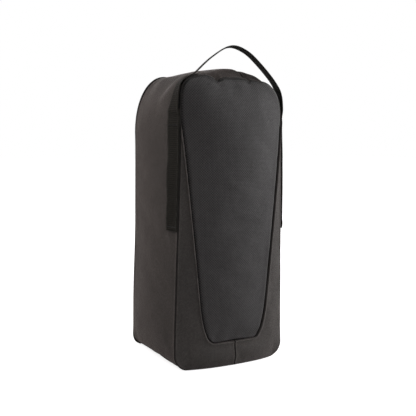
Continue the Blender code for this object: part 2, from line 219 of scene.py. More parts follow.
def gusset_grid():
    """Rows run over the bag from the left foot to the right foot. Columns run from the front to the back."""
    reach = LAST - STEPS[1]
    at = np.arange(-reach, reach + 1)[:, None]
    share = np.linspace(0, 1, DEPTH_CELLS + 1)[None, :]
    station, sign = LAST - np.abs(at) + 0 * share, np.where(at < 0, -1.0, 1.0) + 0 * share
    x, z = outline(station, share, sign)
    nx, nz = outward(station, share, sign)
    nz = np.where(at == 0, 1.0, nz)
    nx = np.where(at == 0, 0.0, nx)
    wide = SIDE_CROWN * nx ** 2 * smooth(0, 0.05, z) * (1 - np.abs(2 * share - 1) ** 3.2)
    right_swell = bump(z - 0.24, 0.06) * smooth(0.5, 1.0, nx)
    wide += RIGHT_CROWN * right_swell * smooth(0, 0.12, share) * (1 - share) ** 2
    # the top is fullest near the front and on the right
    rise = smooth(-0.02, 0.22, share) * smooth(0.0, 0.05, share)
    fall = (1 - 0.75 * smooth(0.25, 0.95, share)) * (1 - share ** 8)
    lean = mix(0.25, 0.85, smooth(-0.045, 0.012, x)) * mix(1.0, 0.75, smooth(0.010, 0.055, x))
    crown = wide + TOP_CROWN * rise * fall * lean * np.maximum(nz, 0) ** 3
    front = FRONT_Y - slump(x[:, :1], z[:, :1])
    return np.stack([x + nx * crown, mix(front, BACK_Y, share), z + nz * crown], axis=-1)


def wing_grid():
    """Right wing: rows run from the middle of the yoke to the tip, columns from the inset seam outwards."""
    level = np.stack([np.linspace(0, INSET_RUN, BASE + 1), np.full(BASE + 1, INSET_BOTTOM)], axis=1)
    inner = np.vstack([level[:-1], inset_seam(FOOT + SIDE)])
    outer = np.stack(outline(np.arange(TIP + 1), 0.0), axis=1)
    across = np.linspace(0, 1, WING_CELLS + 1)[None, :, None]
    return on_front(mix(inner[:, None, :], outer[:, None, :], across))


def centre_grid():
    """Rows run up the panel. Each goes from the left edge to the right edge."""
    seam = inset_seam(FOOT + SIDE)
    above = np.arange(TIP + 1, STEPS[4] + 1)
    right = np.vstack([seam, np.stack(outline(above, 0.0, 1.0, False), axis=1)])
    left = np.vstack([seam * (-1, 1), np.stack(outline(above, 0.0, -1.0, False), axis=1)])
    across = np.linspace(0, 1, 2 * TOP + 1)[None, :, None]
    flat = mix(left[:, None, :], right[:, None, :], across)
    reach = np.abs(np.linspace(-1, 1, 2 * TOP + 1))
    # between the shoulders the rows are evenly spaced
    even_rows = mix(seam[-1, 1], SEAM_HEIGHT, np.arange(1, SHOULDER + 1) / SHOULDER)[:, None]
    flat[-SHOULDER:, :, 1] = mix(even_rows, flat[-SHOULDER:, :, 1], reach ** 4)
    flat[..., 1] = lifted(flat[..., 0], flat[..., 1], 0.0)
    return on_front(flat)


def leaning(grid, share=0.0):
    """Shifts the front of the bag a little to the right, below the shoulders."""
    grid = grid.copy()
    grid[..., 0] += FRONT_LEAN * (1 - smooth(0.27, 0.335, grid[..., 2])) * (1 - share)
    return grid


def mirrored(grid):
    return grid * np.array((-1.0, 1.0, 1.0))


# ---------------------------------------------------------------- filling the bag

def face_outwards(mesh):
    """Turns the faces of a mesh the same way, outwards where it is closed."""
    shape = bmesh.new()
    shape.from_mesh(mesh)
    bmesh.ops.recalc_face_normals(shape, faces=shape.faces)
    shape.to_mesh(mesh)
    shape.free()


def fill(grids, pinned):
    """Blows the skins up as one cloth sewn along shared points, and returns the filled grids."""
    points, faces, where = {}, [], []
    for grid in grids:
        flat = np.round(grid.reshape(-1, 3), 6)
        index = np.array([points.setdefault(tuple(p), len(points)) for p in flat]).reshape(grid.shape[:2])
        where.append(index)
        for i in range(index.shape[0] - 1):
            for j in range(index.shape[1] - 1):
                corner = [index[i, j], index[i, j + 1], index[i + 1, j + 1], index[i + 1, j]]
                corner = list(dict.fromkeys(int(c) for c in corner))
                if len(corner) > 2:
                    faces.append(corner)
    mesh = bpy.data.meshes.new("filling")
    mesh.from_pydata([Vector(p) for p in points], [], faces)
    body = bpy.data.objects.new("filling", mesh)
    bpy.context.scene.collection.objects.link(body)
    held = {points[tuple(p)] for p in np.round(pinned, 6)}
    group = body.vertex_groups.new(name="sewn")
    group.add(sorted(held), 1.0, "REPLACE")
    face_outwards(mesh)
    cloth = body.modifiers.new("cloth", "CLOTH")
    settings = cloth.settings
    settings.quality = 6
    settings.mass = 0.2
    settings.tension_stiffness = settings.compression_stiffness = 18
    settings.shear_stiffness = 8
    settings.bending_stiffness = 2.5
    settings.shrink_min = -0.008
    settings.use_pressure = True
    settings.uniform_pressure_force = 4.0
    settings.effector_weights.gravity = 0
    settings.vertex_group_mass = "sewn"
    cloth.collision_settings.use_collision = False
    cloth.point_cache.frame_start, cloth.point_cache.frame_end = 1, FILL_FRAMES
    scene = bpy.context.scene
    for number in range(1, FILL_FRAMES + 1):
        scene.frame_set(number)
    evaluated = body.evaluated_get(bpy.context.evaluated_depsgraph_get())
    count = len(points)
    found = np.empty(count * 3)
    evaluated.data.vertices.foreach_get("co", found)
    found = found.reshape(-1, 3)
    scene.frame_set(1)
    bpy.data.objects.remove(body)
    rest = np.array(list(points))
    moved = found - rest
    reach = np.linalg.norm(moved, axis=1, keepdims=True)
    moved *= np.minimum(1, FILL_CAP / np.maximum(reach, 1e-9))
    return [grid + calmed(moved[index]) for grid, index in zip(grids, where)]


def even(values, reach, axis=0):
    """A running average along one axis. It leaves the two end values as they are."""
    kernel = np.hanning(2 * reach + 3)[1:-1]
    kernel /= kernel.sum()
    rows = np.moveaxis(values, axis, 0)
    padded = np.pad(rows, [(reach, reach)] + [(0, 0)] * (rows.ndim - 1), mode="reflect", reflect_type="odd")
    averaged = sum(k * padded[i:i + len(rows)] for i, k in enumerate(kernel))
    return np.moveaxis(averaged, 0, axis)


def calmed(moved):
    """Movement of a skin with most of its fine wrinkles taken out: the bag is filled tight."""
    slow = even(even(moved, 5, 0), 3, 1)
    return slow + WRINKLES * (moved - slow)


# ---------------------------------------------------------------- finer skins, creases and seams

EDGE_CELLS = (0, 0.08, 0.17, 0.28, 0.42, 0.6, 0.85, 1.15, 1.5)


def fine_stations(cells, low_seam=True, high_seam=True):
    """Positions along a grid of this many cells: crowded beside a sewn edge, half a cell apart elsewhere."""
    inner = list(np.arange(2.0, cells - 2.0 + 1e-6, 0.5))
    low = list(EDGE_CELLS) if low_seam else list(np.arange(0, 2.0, 0.5))
    high = list(EDGE_CELLS) if high_seam else list(np.arange(0, 2.0, 0.5))
    return np.array(low + inner + [cells - c for c in reversed(high)])


def spline(grid, at, axis):
    """The grid read at fractional positions along one axis, on a smooth curve through its points."""
    rows = np.moveaxis(grid, axis, 0)
    i = np.clip(np.floor(at).astype(int), 0, len(rows) - 2)
    f = (at - i)[:, None, None]
    rows = np.concatenate([[2 * rows[0] - rows[1]], rows, [2 * rows[-1] - rows[-2]]])
    p0, p1, p2, p3 = rows[i], rows[i + 1], rows[i + 2], rows[i + 3]
    read = p1 + 0.5 * f * (p2 - p0 + f * (2 * p0 - 5 * p1 + 4 * p2 - p3 + f * (3 * (p1 - p2) + p3 - p0)))
    return np.moveaxis(read, 0, axis)


def normals(grid, outside):
    """Unit normals of a grid, on the side of the given direction or away from the bag's middle."""
    along = np.gradient(grid, axis=0)
    across = np.gradient(grid, axis=1)
    normal = np.cross(along, across)
    normal /= np.maximum(np.linalg.norm(normal, axis=-1, keepdims=True), 1e-12)
    facing = (normal * outside).sum(axis=-1)
    return normal * (1.0 if np.median(facing) > 0 else -1.0)


def from_edge(grid, axis, end):
    """Distance of each point from one edge of its grid, measured along the fabric."""
    rows = np.moveaxis(grid, axis, 0)
    rows = rows[::-1] if end else rows
    steps = np.linalg.norm(np.diff(rows, axis=0), axis=-1)
    length = np.concatenate([np.zeros((1,) + steps.shape[1:]), np.cumsum(steps, axis=0)])
    length = length[::-1] if end else length
    return np.moveaxis(length, 0, axis)


def seam_height(distance, lip, lip_at, depth, width):
    """Cross-section of a turned seam: a rolled lip beside a narrow groove."""
    return lip * bump(distance - lip_at, 0.75 * lip_at) - depth * bump(distance, width)


def ripple(points, scale, seed):
    """Smooth noise, one value for each point, with features of about this size in metres."""
    flat = points.reshape(-1, 3) / scale
    shift = Vector((seed, 2.3 * seed, -1.7 * seed))
    values = [noise.noise(Vector(p) + shift) for p in flat]
    return np.array(values).reshape(points.shape[:-1])


def segment(points, start, end):
    """(distance to a segment, how far along it from 0 to 1) of each point."""
    start, end = np.array(start), np.array(end)
    line = end - start
    along = np.clip(((points - start) @ line) / (line @ line), 0, 1)
    return np.linalg.norm(points - start - along[..., None] * line, axis=-1), along


def crease(points, start, end, height, width, grow=1.0):
    """A ridge, or with a negative height a valley, along a segment. It widens and fades towards its end."""
    distance, along = segment(points, start, end)
    fade = (1 - along) ** 0.8 * smooth(0, 0.08, along + 0.06)
    return height * fade * bump(distance, width * (1 + grow * along))


# Each fold in millimetres: (start, end, height, width, growth). Its y is measured from origin_y in folds().
PINCHES = (
    ((-24, 0, 372), (-30, 40, 386), -3.6, 3.0, 2.5),
    ((-28, 0, 375), (-45, 30, 386), 1.8, 2.6, 2.0),
    ((-19, 0, 375), (-14, 22, 384), 1.0, 2.4, 1.5),
    ((23.5, 0, 373), (26, 28, 382), -2.6, 2.6, 2.2),
    ((29, 0, 374), (38, 25, 380), 0.9, 2.4, 2.0))
SHOULDER_PULLS = (
    ((-74, 14, 343), (-78, 44, 318), 1.5, 2.6, 2.0),
    ((-74, 18, 349), (-76, 52, 332), -1.2, 4.0, 2.0))
SLACK = (
    ((-58, 50, 372), (-74, 20, 330), -1.8, 9.0, 1.5),
    ((-50, 30, 382), (-78, 0, 325), 1.4, 8.0, 1.2),
    ((80, -60, 276), (82, -20, 262), 2.6, 7.0, 1.0))
LEG_PULLS = (
    ((81, 8, 178), (81, -2, 150), 0.7, 2.2, 2.0),
    ((81, -5, 178), (81, -9, 140), -0.7, 2.4, 2.0),
    ((81, 12, 180), (81, 34, 158), -0.7, 3.0, 2.0))
FOOT_FOLDS = (
    ((78, 58, 196), (80, 50, 150), 1.2, 4.0, 1.5),
    ((78, 62, 120), (80, 48, 90), -0.9, 5.0, 1.5),
    ((70, -66, 8), (81, -40, 50), 2.0, 3.0, 2.0),
    ((76, -64, 20), (81, -50, 60), -1.4, 4.0, 1.5))
FRONT_FOLDS = (
    ((-41, -10, 45), (-66, 0, 72), 1.2, 3.5, 1.5),
    ((-42, -10, 52), (-62, 0, 86), -1.6, 5.0, 1.5),
    ((42, -10, 46), (66, 0, 66), 0.9, 4.0, 1.5),
    ((-28, -10, 41), (-6, -10, 85), -1.3, 5.0, 2.0),
    ((-6, -10, 40), (10, -10, 70), -0.7, 5.0, 2.0),
    ((-24, 0, 371), (-32, -10, 325), -1.6, 6.0, 2.0),
    ((23.5, 0, 371), (18, -10, 330), -1.2, 6.0, 2.0),
    ((62, 0, 352), (36, -10, 338), -2.4, 8.0, 1.0),
    ((73, 0, 276), (50, -10, 262), -1.2, 5.0, 2.0))
DOOR_FOLDS = (
    ((50, 0, 30), (20, 6, 80), 1.3, 4.0, 2.0),
    ((-50, 0, 30), (-18, 6, 70), 1.1, 4.0, 2.0),
    ((45, 0, 335), (15, 6, 290), -1.3, 5.0, 2.0),
    ((-50, 0, 320), (-20, 6, 290), -1.0, 5.0, 2.0))


def folds(points, rows, origin_y):
    """The height of a set of folds at each point."""
    shifted = points - (0, origin_y, 0)
    made = 0
    for start, end, height, width, grow in rows:
        made = made + crease(shifted, np.array(start) * MM, np.array(end) * MM, height * MM, width * MM, grow)
    return made


def gusset_creases(p):
    """Folds of the gusset: pinches at the top seam, pulls round the webbing and slack near the foot."""
    # the gusset is drawn in under the taut webbing on the left shoulder
    shoulder = smooth(0.325, 0.345, p[..., 2]) * smooth(-0.040, -0.055, p[..., 0])
    h = -4.5 * MM * shoulder * bump(p[..., 1] - WEB_Y, 17 * MM)
    h += folds(p, PINCHES, FRONT_Y) + folds(p, SHOULDER_PULLS, WEB_Y) + folds(p, SLACK, 0)
    for sided in (p, mirrored(p)):
        h += folds(sided, LEG_PULLS, WEB_Y) + folds(sided, FOOT_FOLDS, 0)
    return h


# ---------------------------------------------------------------- meshes

def add_piece(name, mesh, finish, body, replaced=()):
    piece = bpy.data.objects.new(name, mesh)
    bpy.context.scene.collection.objects.link(piece)
    mesh.materials.append(finish)
    mesh.shade_smooth()
    if body:
        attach(piece, body)
    if replaced:
        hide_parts(*replaced)
    return piece


def grid_quads(shape):
    """Corner numbers of the quads of a grid with this many rows and columns."""
    index = np.arange(shape[0] * shape[1]).reshape(shape[:2])
    return np.stack([index[:-1, :-1], index[:-1, 1:], index[1:, 1:], index[1:, :-1]], axis=-1).reshape(-1, 4)


def ring_faces(count, around):
    """Faces of a capped tube of this many rings, each with this many points."""
    index = np.arange(count * around).reshape(count, around)
    nxt = np.roll(index, -1, axis=1)
    quads = np.stack([index[:-1], nxt[:-1], nxt[1:], index[1:]], axis=-1).reshape(-1, 4)
    return quads, index[0][::-1], index[-1]


def grid_mesh(name, grid, weave, outside, seam=None):
    """A mesh of quads over a grid, its faces turned outwards, with the weave's directions as its map.

    seam, if given, is each point's distance from the nearest seam, which the cloth's material reads to paint
    shade in the groove and a highlight on the lip.
    """
    quads = grid_quads(grid.shape)
    flat = grid.reshape(-1, 3)
    side = np.cross(flat[quads[:, 2]] - flat[quads[:, 0]], flat[quads[:, 3]] - flat[quads[:, 1]])
    if (side * outside).sum() < 0:
        quads = quads[:, ::-1]
    mesh = bpy.data.meshes.new(name)
    mesh.from_pydata(flat.tolist(), [], quads.tolist())
    layer = mesh.uv_layers.new(name="weave")
    uv = weave.reshape(-1, 2)[quads.reshape(-1)]
    layer.data.foreach_set("uv", uv.astype(np.float32).ravel())
    if seam is not None:
        attribute = mesh.attributes.new("seam", "FLOAT", "POINT")
        attribute.data.foreach_set("value", seam.astype(np.float32).ravel())
    shape = bmesh.new()
    shape.from_mesh(mesh)
    bmesh.ops.remove_doubles(shape, verts=shape.verts, dist=0.01 * MM)
    bmesh.ops.dissolve_degenerate(shape, edges=shape.edges, dist=0.01 * MM)
    shape.to_mesh(mesh)
    shape.free()
    return mesh


def skin(name, grid, weave, outside, finish, body, replaced=(), thickness=SKIN, seam=None):
    """A fabric piece: a grid with thickness on its inner side."""
    piece = add_piece(name, grid_mesh(name, grid, weave, outside, seam=seam), finish, body, replaced)
    cloth = piece.modifiers.new("thickness", "SOLIDIFY")
    cloth.thickness = thickness
    cloth.offset = -1
    return piece


def tube_mesh(name, rings, weave=None):
    """Closed rings with the same number of points, joined into a tube with capped ends."""
    rings = np.asarray(rings)
    quads, *caps = ring_faces(*rings.shape[:2])
    mesh = bpy.data.meshes.new(name)
    mesh.from_pydata(rings.reshape(-1, 3).tolist(), [], quads.tolist() + [cap.tolist() for cap in caps])
    if weave is not None:
        layer = mesh.uv_layers.new(name="weave")
        flat = weave.reshape(-1, 2)
        loops = np.array([loop.vertex_index for loop in mesh.loops])
        layer.data.foreach_set("uv", flat[loops].astype(np.float32).ravel())
    face_outwards(mesh)
    return mesh


def beads(starts, ends, ups, radius, sides=6, arch=0.0):
    """Vertices and faces of many short rounded bars, such as stitches or zip teeth."""
    starts, ends, ups = (np.asarray(a, float) for a in (starts, ends, ups))
    along = ends - starts
    length = np.linalg.norm(along, axis=1, keepdims=True)
    along = along / length
    ups = ups - (ups * along).sum(axis=1, keepdims=True) * along
    ups /= np.linalg.norm(ups, axis=1, keepdims=True)
    across = np.cross(along, ups)
    shares, sizes = (0.0, 0.12, 0.5, 0.88, 1.0), (0.35, 0.85, 1.0, 0.85, 0.35)
    turn = np.arange(sides) * 2 * math.pi / sides
    rings = []
    for share, size in zip(shares, sizes):
        centre = starts + along * length * share + ups * arch * (4 * share * (1 - share))
        ring = centre[:, None, :] + radius * size * (
            np.cos(turn)[None, :, None] * across[:, None, :] + np.sin(turn)[None, :, None] * ups[:, None, :])
        rings.append(ring)
    points = np.stack(rings, axis=1)
    quads, *caps = ring_faces(len(shares), sides)
    faces = []
    for base in range(0, len(starts) * len(shares) * sides, len(shares) * sides):
        faces += (quads + base).tolist() + [(cap + base).tolist() for cap in caps]
    return points.reshape(-1, 3).tolist(), faces


def bead_piece(name, starts, ends, ups, radius, finish, body, replaced=(), slot=None, **shape):
    points, faces = beads(starts, ends, ups, radius, **shape)
    mesh = bpy.data.meshes.new(name)
    mesh.from_pydata(points, [], faces)
    face_outwards(mesh)
    return add_piece(name, mesh, finish, body, replaced)


def resampled(points, step):
    """Points of a polyline at an even spacing."""
    points = np.asarray(points, float)
    length = run_along(points)
    goals = np.linspace(0, length[-1], max(2, int(round(length[-1] / step)) + 1))
    return np.stack([np.interp(goals, length, points[:, i]) for i in range(points.shape[1])], axis=1)


def stitch_row(line, ups, stitch, gap, lift):
    """Starts, ends and upward directions of a row of stitches along a polyline."""
    both = resampled(np.hstack([line, ups]), stitch + gap)
    points, up = both[:, :3], both[:, 3:]
    share = stitch / (stitch + gap)
    starts = points[:-1] + up[:-1] * lift
    ends = points[:-1] + (points[1:] - points[:-1]) * share + up[:-1] * lift
    return starts, ends, up[:-1]


# ---------------------------------------------------------------- materials

class Shader:
    """A node tree under construction. Sockets and numbers can be mixed freely as inputs."""

    def __init__(self, name):
        self.material = bpy.data.materials.new(name)
        self.material.use_nodes = True
        self.tree = self.material.node_tree
        self.principled = self.tree.nodes["Principled BSDF"]

    def put(self, socket, value):
        if isinstance(value, bpy.types.NodeSocket):
            self.tree.links.new(value, socket)
        else:
            socket.default_value = value

    def node(self, kind, inputs=(), **settings):
        made = self.tree.nodes.new(kind)
        for key, value in settings.items():
            setattr(made, key, value)
        for key, value in dict(inputs).items():
            self.put(made.inputs[key], value)
        return made

    def math(self, operation, *values, clamp=False):
        return self.node("ShaderNodeMath", enumerate(values), operation=operation, use_clamp=clamp).outputs[0]

    def coordinates(self, of="Object"):
        return self.node("ShaderNodeTexCoord").outputs[of]

    def noise(self, scale, detail=2.0, roughness=0.5):
        made = self.node("ShaderNodeTexNoise", {"Vector": self.coordinates(), "Scale": scale, "Detail": detail,
                                                "Roughness": roughness})
        return made.outputs["Fac"]

    def spread(self, value, low, high, start=0.0, end=1.0):
        keys = {"Value": value, "From Min": low, "From Max": high, "To Min": start, "To Max": end}
        return self.node("ShaderNodeMapRange", keys).outputs[0]

    def blend(self, share, first, second, mode="MIX"):
        made = self.node("ShaderNodeMix", {"Factor": share}, data_type="RGBA", blend_type=mode)
        self.put(made.inputs[6], first)
        self.put(made.inputs[7], second)
        return made.outputs[2]

    def times(self, first, second):
        return self.blend(1.0, first, second, "MULTIPLY")

    def wave(self, shape, value, pitch):
        """|sine| or |cosine| along a value, one hump for each pitch."""
        return self.math("ABSOLUTE", self.math(shape, self.math("MULTIPLY", value, math.pi / pitch)))

    def thread_map(self):
        """(u, v) along the two thread directions, in metres."""
        split = self.node("ShaderNodeSeparateXYZ", {"Vector": self.coordinates("UV")})
        return split.outputs[0], split.outputs[1]

    def bump(self, height, distance, strength=1.0, over=None):
        inputs = {"Height": height, "Distance": distance, "Strength": strength}
        if over:
            inputs["Normal"] = over
        return self.node("ShaderNodeBump", inputs).outputs[0]

    def finish(self, colour, roughness, normal=None, **extra):
        inputs = self.principled.inputs
        self.put(inputs["Base Color"], colour)
        self.put(inputs["Roughness"], roughness)
        if normal:
            self.put(inputs["Normal"], normal)
        for key, value in extra.items():
            self.put(inputs[key.replace("_", " ")], value)
        return self.material


def rgb(*channels):
    return (*channels, 1.0)


def grey(level):
    return rgb(level, level, level)


def plain_weave(shader, u, v, pitch):
    """(height of the threads, which of the two threads is on top) of a plain weave."""
    a, b = shader.math("DIVIDE", u, pitch), shader.math("DIVIDE", v, pitch)
    squares = shader.math("ADD", shader.math("FLOOR", a), shader.math("FLOOR", b))
    parity = shader.math("FLOORED_MODULO", squares, 2.0)
    warp, weft = shader.wave("SINE", a, 1.0), shader.wave("SINE", b, 1.0)
    crossing = shader.math("SQRT", shader.math("MULTIPLY", warp, weft))
    top = shader.node("ShaderNodeMix", {0: parity, 2: warp, 3: weft}).outputs[0]
    roundness = shader.math("ADD", shader.math("MULTIPLY", crossing, 0.5), 0.5)
    return shader.math("MULTIPLY", top, roundness), parity


def worn(shader, colour, dark, light, scale=9.0):
    """Uneven dye and handling marks over a colour."""
    patches = shader.noise(scale, 3.0, 0.6)
    grain = shader.noise(900.0, 2.0, 0.7)
    shaded = shader.blend(shader.spread(patches, 0.35, 0.68), dark, light)
    speck = shader.blend(shader.spread(grain, 0.35, 0.65), grey(0.90), rgb(1.12, 1.11, 1.10))
    return shader.times(shader.times(colour, shaded), speck)


def paint_seam_shade_and_lip_highlight(shader, colour, dark, wear_and_lip_highlight):
    """Paints shade into the stitched groove of a seam, and paints a highlight on the rolled lip beside it."""
    distance = shader.node("ShaderNodeAttribute", attribute_name="seam").outputs["Fac"]
    groove = shader.spread(distance, 0.5 * MM, 1.3 * MM)
    from_lip = shader.math("ABSOLUTE", shader.math("SUBTRACT", distance, 2.1 * MM))
    lip_share = shader.spread(from_lip, 0.2 * MM, 1.1 * MM, 1.0, 0.0)
    # painted shade darkens the groove, and a painted highlight lightens the rolled lip
    groove_painted_shade = shader.blend(groove, grey(dark), grey(1))
    lip_painted_highlight = shader.blend(lip_share, grey(1), grey(wear_and_lip_highlight))
    return shader.times(shader.times(colour, groove_painted_shade), lip_painted_highlight)


def shell_cloth():
    """Plain-weave polyester in a warm dark grey, thinly padded."""
    s = Shader("shell_cloth")
    u, v = s.thread_map()
    height, parity = plain_weave(s, u, v, 0.55 * MM)
    threads = s.blend(s.spread(height, 0.1, 0.9), rgb(0.0295, 0.0260, 0.0247), rgb(0.0745, 0.0668, 0.0636))
    slub = s.noise(260.0, 2.0, 0.6)
    threads = s.blend(s.math("MULTIPLY", parity, 0.10), threads, rgb(0.085, 0.076, 0.070))
    fleck = s.blend(s.spread(s.noise(420.0, 1.0), 0.35, 0.65), grey(0.90), grey(1.10))
    colour = worn(s, s.times(threads, fleck), grey(0.90), rgb(1.10, 1.09, 1.08))
    # painted shade darkens the seam grooves to 0.35 of the colour, and a painted highlight makes the rolled
    # lips 1.45 times lighter
    colour = paint_seam_shade_and_lip_highlight(s, colour, 0.35, 1.45)
    weave = s.bump(height, 0.12 * MM, 0.6)
    normal = s.bump(slub, 0.25 * MM, 0.35, weave)
    rough = s.spread(slub, 0.3, 0.7, 0.58, 0.72)
    return s.finish(colour, rough, normal, Sheen_Weight=0.24, Sheen_Roughness=0.40,
                    Sheen_Tint=rgb(1.0, 0.86, 0.82), Specular_IOR_Level=0.3)


def front_cloth():
    """Coarse basket weave in a cooler grey. Its lighter and darker squares read as diagonals."""
    s = Shader("front_cloth")
    u, v = s.thread_map()
    height, parity = plain_weave(s, u, v, 1.65 * MM)
    fine, _ = plain_weave(s, u, v, 0.55 * MM)
    threads = s.blend(s.spread(height, 0.1, 0.7), rgb(0.0132, 0.0120, 0.0124), rgb(0.0262, 0.0240, 0.0246))
    threads = s.blend(s.math("MULTIPLY", parity, 0.80), threads, rgb(0.0665, 0.0608, 0.0622))
    threads = s.blend(s.math("MULTIPLY", fine, 0.12), threads, rgb(0.075, 0.071, 0.072))
    # painted shade darkens the seam grooves to 0.25 of the colour; the lips get no painted highlight
    colour = paint_seam_shade_and_lip_highlight(s, worn(s, threads, grey(0.92), grey(1.08)), 0.25, 1.0)
    weave = s.bump(height, 0.30 * MM, 0.7)
    normal = s.bump(fine, 0.08 * MM, 0.4, weave)
    rough = s.spread(s.noise(240.0), 0.3, 0.7, 0.62, 0.76)
    return s.finish(colour, rough, normal, Sheen_Weight=0.15, Sheen_Roughness=0.5, Specular_IOR_Level=0.35)


def webbing_cloth():
    """Ribbed nylon webbing, nearly black. The ribs are in the mesh, and the yarn is added here."""
    s = Shader("webbing_cloth")
    u, v = s.thread_map()
    yarn, rib = s.wave("SINE", u, 0.9 * MM), s.wave("COSINE", v, RIB_PITCH)
    colour = s.blend(s.math("MULTIPLY", yarn, rib), rgb(0.0062, 0.0058, 0.0043), rgb(0.0250, 0.0233, 0.0174))
    selvage = s.spread(s.math("ABSOLUTE", u), WEB_WIDTH / 2 - 2.9 * MM, WEB_WIDTH / 2 - 2.3 * MM)
    colour = s.blend(s.math("MULTIPLY", selvage, 0.7), colour, rgb(0.026, 0.0245, 0.0200))
    colour = worn(s, colour, grey(0.92), rgb(1.10, 1.10, 1.08), 30.0)
    normal = s.bump(yarn, 0.18 * MM, 0.6)
    return s.finish(colour, 0.72, normal, Sheen_Weight=0.03, Sheen_Roughness=0.35, Specular_IOR_Level=0.22)


def tape_cloth():
    """Zip tape and seam binding: a fine herringbone, black."""
    s = Shader("tape_cloth")
    u, v = s.thread_map()
    band = s.math("PINGPONG", u, 1.6 * MM)
    height = s.wave("SINE", s.math("ADD", v, band), 0.7 * MM)
    colour = s.blend(height, grey(0.006), rgb(0.019, 0.0185, 0.018))
    colour = worn(s, colour, grey(0.9), grey(1.1), 25.0)
    return s.finish(colour, 0.75, s.bump(height, 0.12 * MM, 0.6), Sheen_Weight=0.15, Specular_IOR_Level=0.3)


def thread_material():
    s = Shader("sewing_thread")
    twist = s.noise(2600.0, 1.0)
    colour = s.blend(s.spread(twist, 0.3, 0.7), rgb(0.0100, 0.0093, 0.0080), rgb(0.0240, 0.0222, 0.0190))
    return s.finish(colour, 0.5, s.bump(twist, 0.08 * MM, 0.5), Sheen_Weight=0.2)


def nylon():
    s = Shader("coil_nylon")
    drawn = s.noise(500.0, 2.0)
    colour = s.blend(drawn, grey(0.008), grey(0.022))
    return s.finish(colour, s.spread(drawn, 0.3, 0.7, 0.28, 0.42), s.bump(drawn, 0.04 * MM, 0.4))


def enamel():
    """Black paint over cast metal, worn through to the metal here and there."""
    s = Shader("slider_enamel")
    pitting = s.noise(420.0, 3.0, 0.6)
    wear_and_lip_highlight = s.spread(s.noise(160.0, 4.0, 0.7), 0.62, 0.70)
    colour = s.blend(wear_and_lip_highlight, grey(0.012), rgb(0.16, 0.155, 0.15))
    rough = s.spread(pitting, 0.3, 0.7, 0.26, 0.42)
    return s.finish(colour, rough, s.bump(pitting, 0.05 * MM, 0.4), Metallic=wear_and_lip_highlight, Coat_Weight=0.25)


def moulded_rubber():
    s = Shader("grip_rubber")
    grain = s.noise(1500.0, 2.0)
    dust = s.noise(120.0, 4.0, 0.7)
    colour = s.blend(s.spread(dust, 0.4, 0.8), grey(0.011), rgb(0.026, 0.025, 0.024))
    return s.finish(colour, s.spread(dust, 0.3, 0.7, 0.5, 0.68), s.bump(grain, 0.06 * MM, 0.6))


def matt_floor():
    """White paper, evenly lit. Its own glow shows only to the camera, so it doesn't light the bag."""
    s = Shader("pale_floor")
    mottle = s.noise(6.0, 2.0)
    colour = s.blend(mottle, grey(0.80), grey(0.83))
    seen = s.node("ShaderNodeLightPath").outputs["Is Camera Ray"]
    distance = s.node("ShaderNodeVectorMath", {0: s.coordinates()}, operation="LENGTH").outputs["Value"]
    glow = s.math("MULTIPLY", seen, s.spread(distance, 0.30, 0.90, FLOOR_GLOW, 1.0))
    return s.finish(colour, 0.9, None, Specular_IOR_Level=0.1, Emission_Color=grey(1), Emission_Strength=glow)


shell_finish, front_finish, webbing_finish = shell_cloth(), front_cloth(), webbing_cloth()
tape_finish, thread_finish, coil_finish = tape_cloth(), thread_material(), nylon()
enamel_finish, rubber_finish, floor_finish = enamel(), moulded_rubber(), matt_floor()


# ---------------------------------------------------------------- fabric body

def sculpt(grid, normal, height):
    return grid + normal * height[..., None]


def rumple(points):
    """Slow swells of a stuffed bag, and the small unevenness of its padding."""
    return 0.9 * MM * ripple(points, 70 * MM, 3.0) + 0.25 * MM * ripple(points, 17 * MM, 11.0)


rough_gusset, rough_wing, rough_centre = gusset_grid(), wing_grid(), centre_grid()
rough_wing, rough_wing_left = leaning(rough_wing), leaning(mirrored(rough_wing))
rough_centre = leaning(rough_centre)
rough_gusset = leaning(rough_gusset, np.linspace(0, 1, DEPTH_CELLS + 1)[None, :])
sewn = [rough_gusset[:, 0], rough_gusset[:, -1], rough_gusset[0], rough_gusset[-1]]
for wing in (rough_wing, rough_wing_left):
    sewn += [wing[:, 0], wing[:, -1], wing[0]]
filled = fill([rough_gusset, rough_centre, rough_wing, rough_wing_left], np.vstack(sewn))
filled_gusset, filled_centre, filled_wing, filled_wing_left = filled

# Gusset
gusset_cells = len(filled_gusset) - 1
gusset = spline(filled_gusset, np.arange(0, gusset_cells + 1e-6, 0.5), 0)
gusset = spline(gusset, fine_stations(DEPTH_CELLS), 1)
middle = np.array((0.0, 0.0, 0.19))
gusset_out = gusset - middle
gusset_out[..., 1] = 0
facing = normals(gusset, gusset_out)
front_edge, back_edge = from_edge(gusset, 1, False), from_edge(gusset, 1, True)
away = smooth(0, 9 * MM, np.minimum(front_edge, back_edge)) * smooth(0.0, 0.03, gusset[..., 2])
near_seam = smooth(0, 5 * MM, front_edge)
height = rumple(gusset) * away + gusset_creases(gusset) * near_seam * smooth(0, 9 * MM, back_edge)
puckers = 0.22 * MM * ripple(gusset * (1, 0.25, 1), 11 * MM, 5.0) * bump(front_edge - 5 * MM, 6 * MM)
on_top = smooth(0.330, 0.368, gusset[..., 2])
height += puckers + seam_height(front_edge, mix(0.6, 1.7, on_top) * MM, 2.2 * MM, 2.8 * MM, 0.75 * MM)
height += seam_height(back_edge, 0.5 * MM, 2.0 * MM, 1.0 * MM, 0.8 * MM)
gusset = sculpt(gusset, facing, height)
gusset[..., 2] = np.maximum(gusset[..., 2], 0.2 * MM)
run = from_edge(gusset, 0, False)[:, :1] + 0 * gusset[..., 0]
gusset_map = np.stack([run, gusset[..., 1]], axis=-1)
# the seam distance is cut by 1 to 1.9 mm at the front edge, most on the top, which widens the painted shade of
# the groove and moves the lip's painted highlight outwards
skin("gusset", gusset, gusset_map, UP, shell_finish, "shell", ("gusset_band",),
     seam=np.minimum(np.maximum(front_edge - mix(1.0, 1.9, on_top) * MM, 0), back_edge))


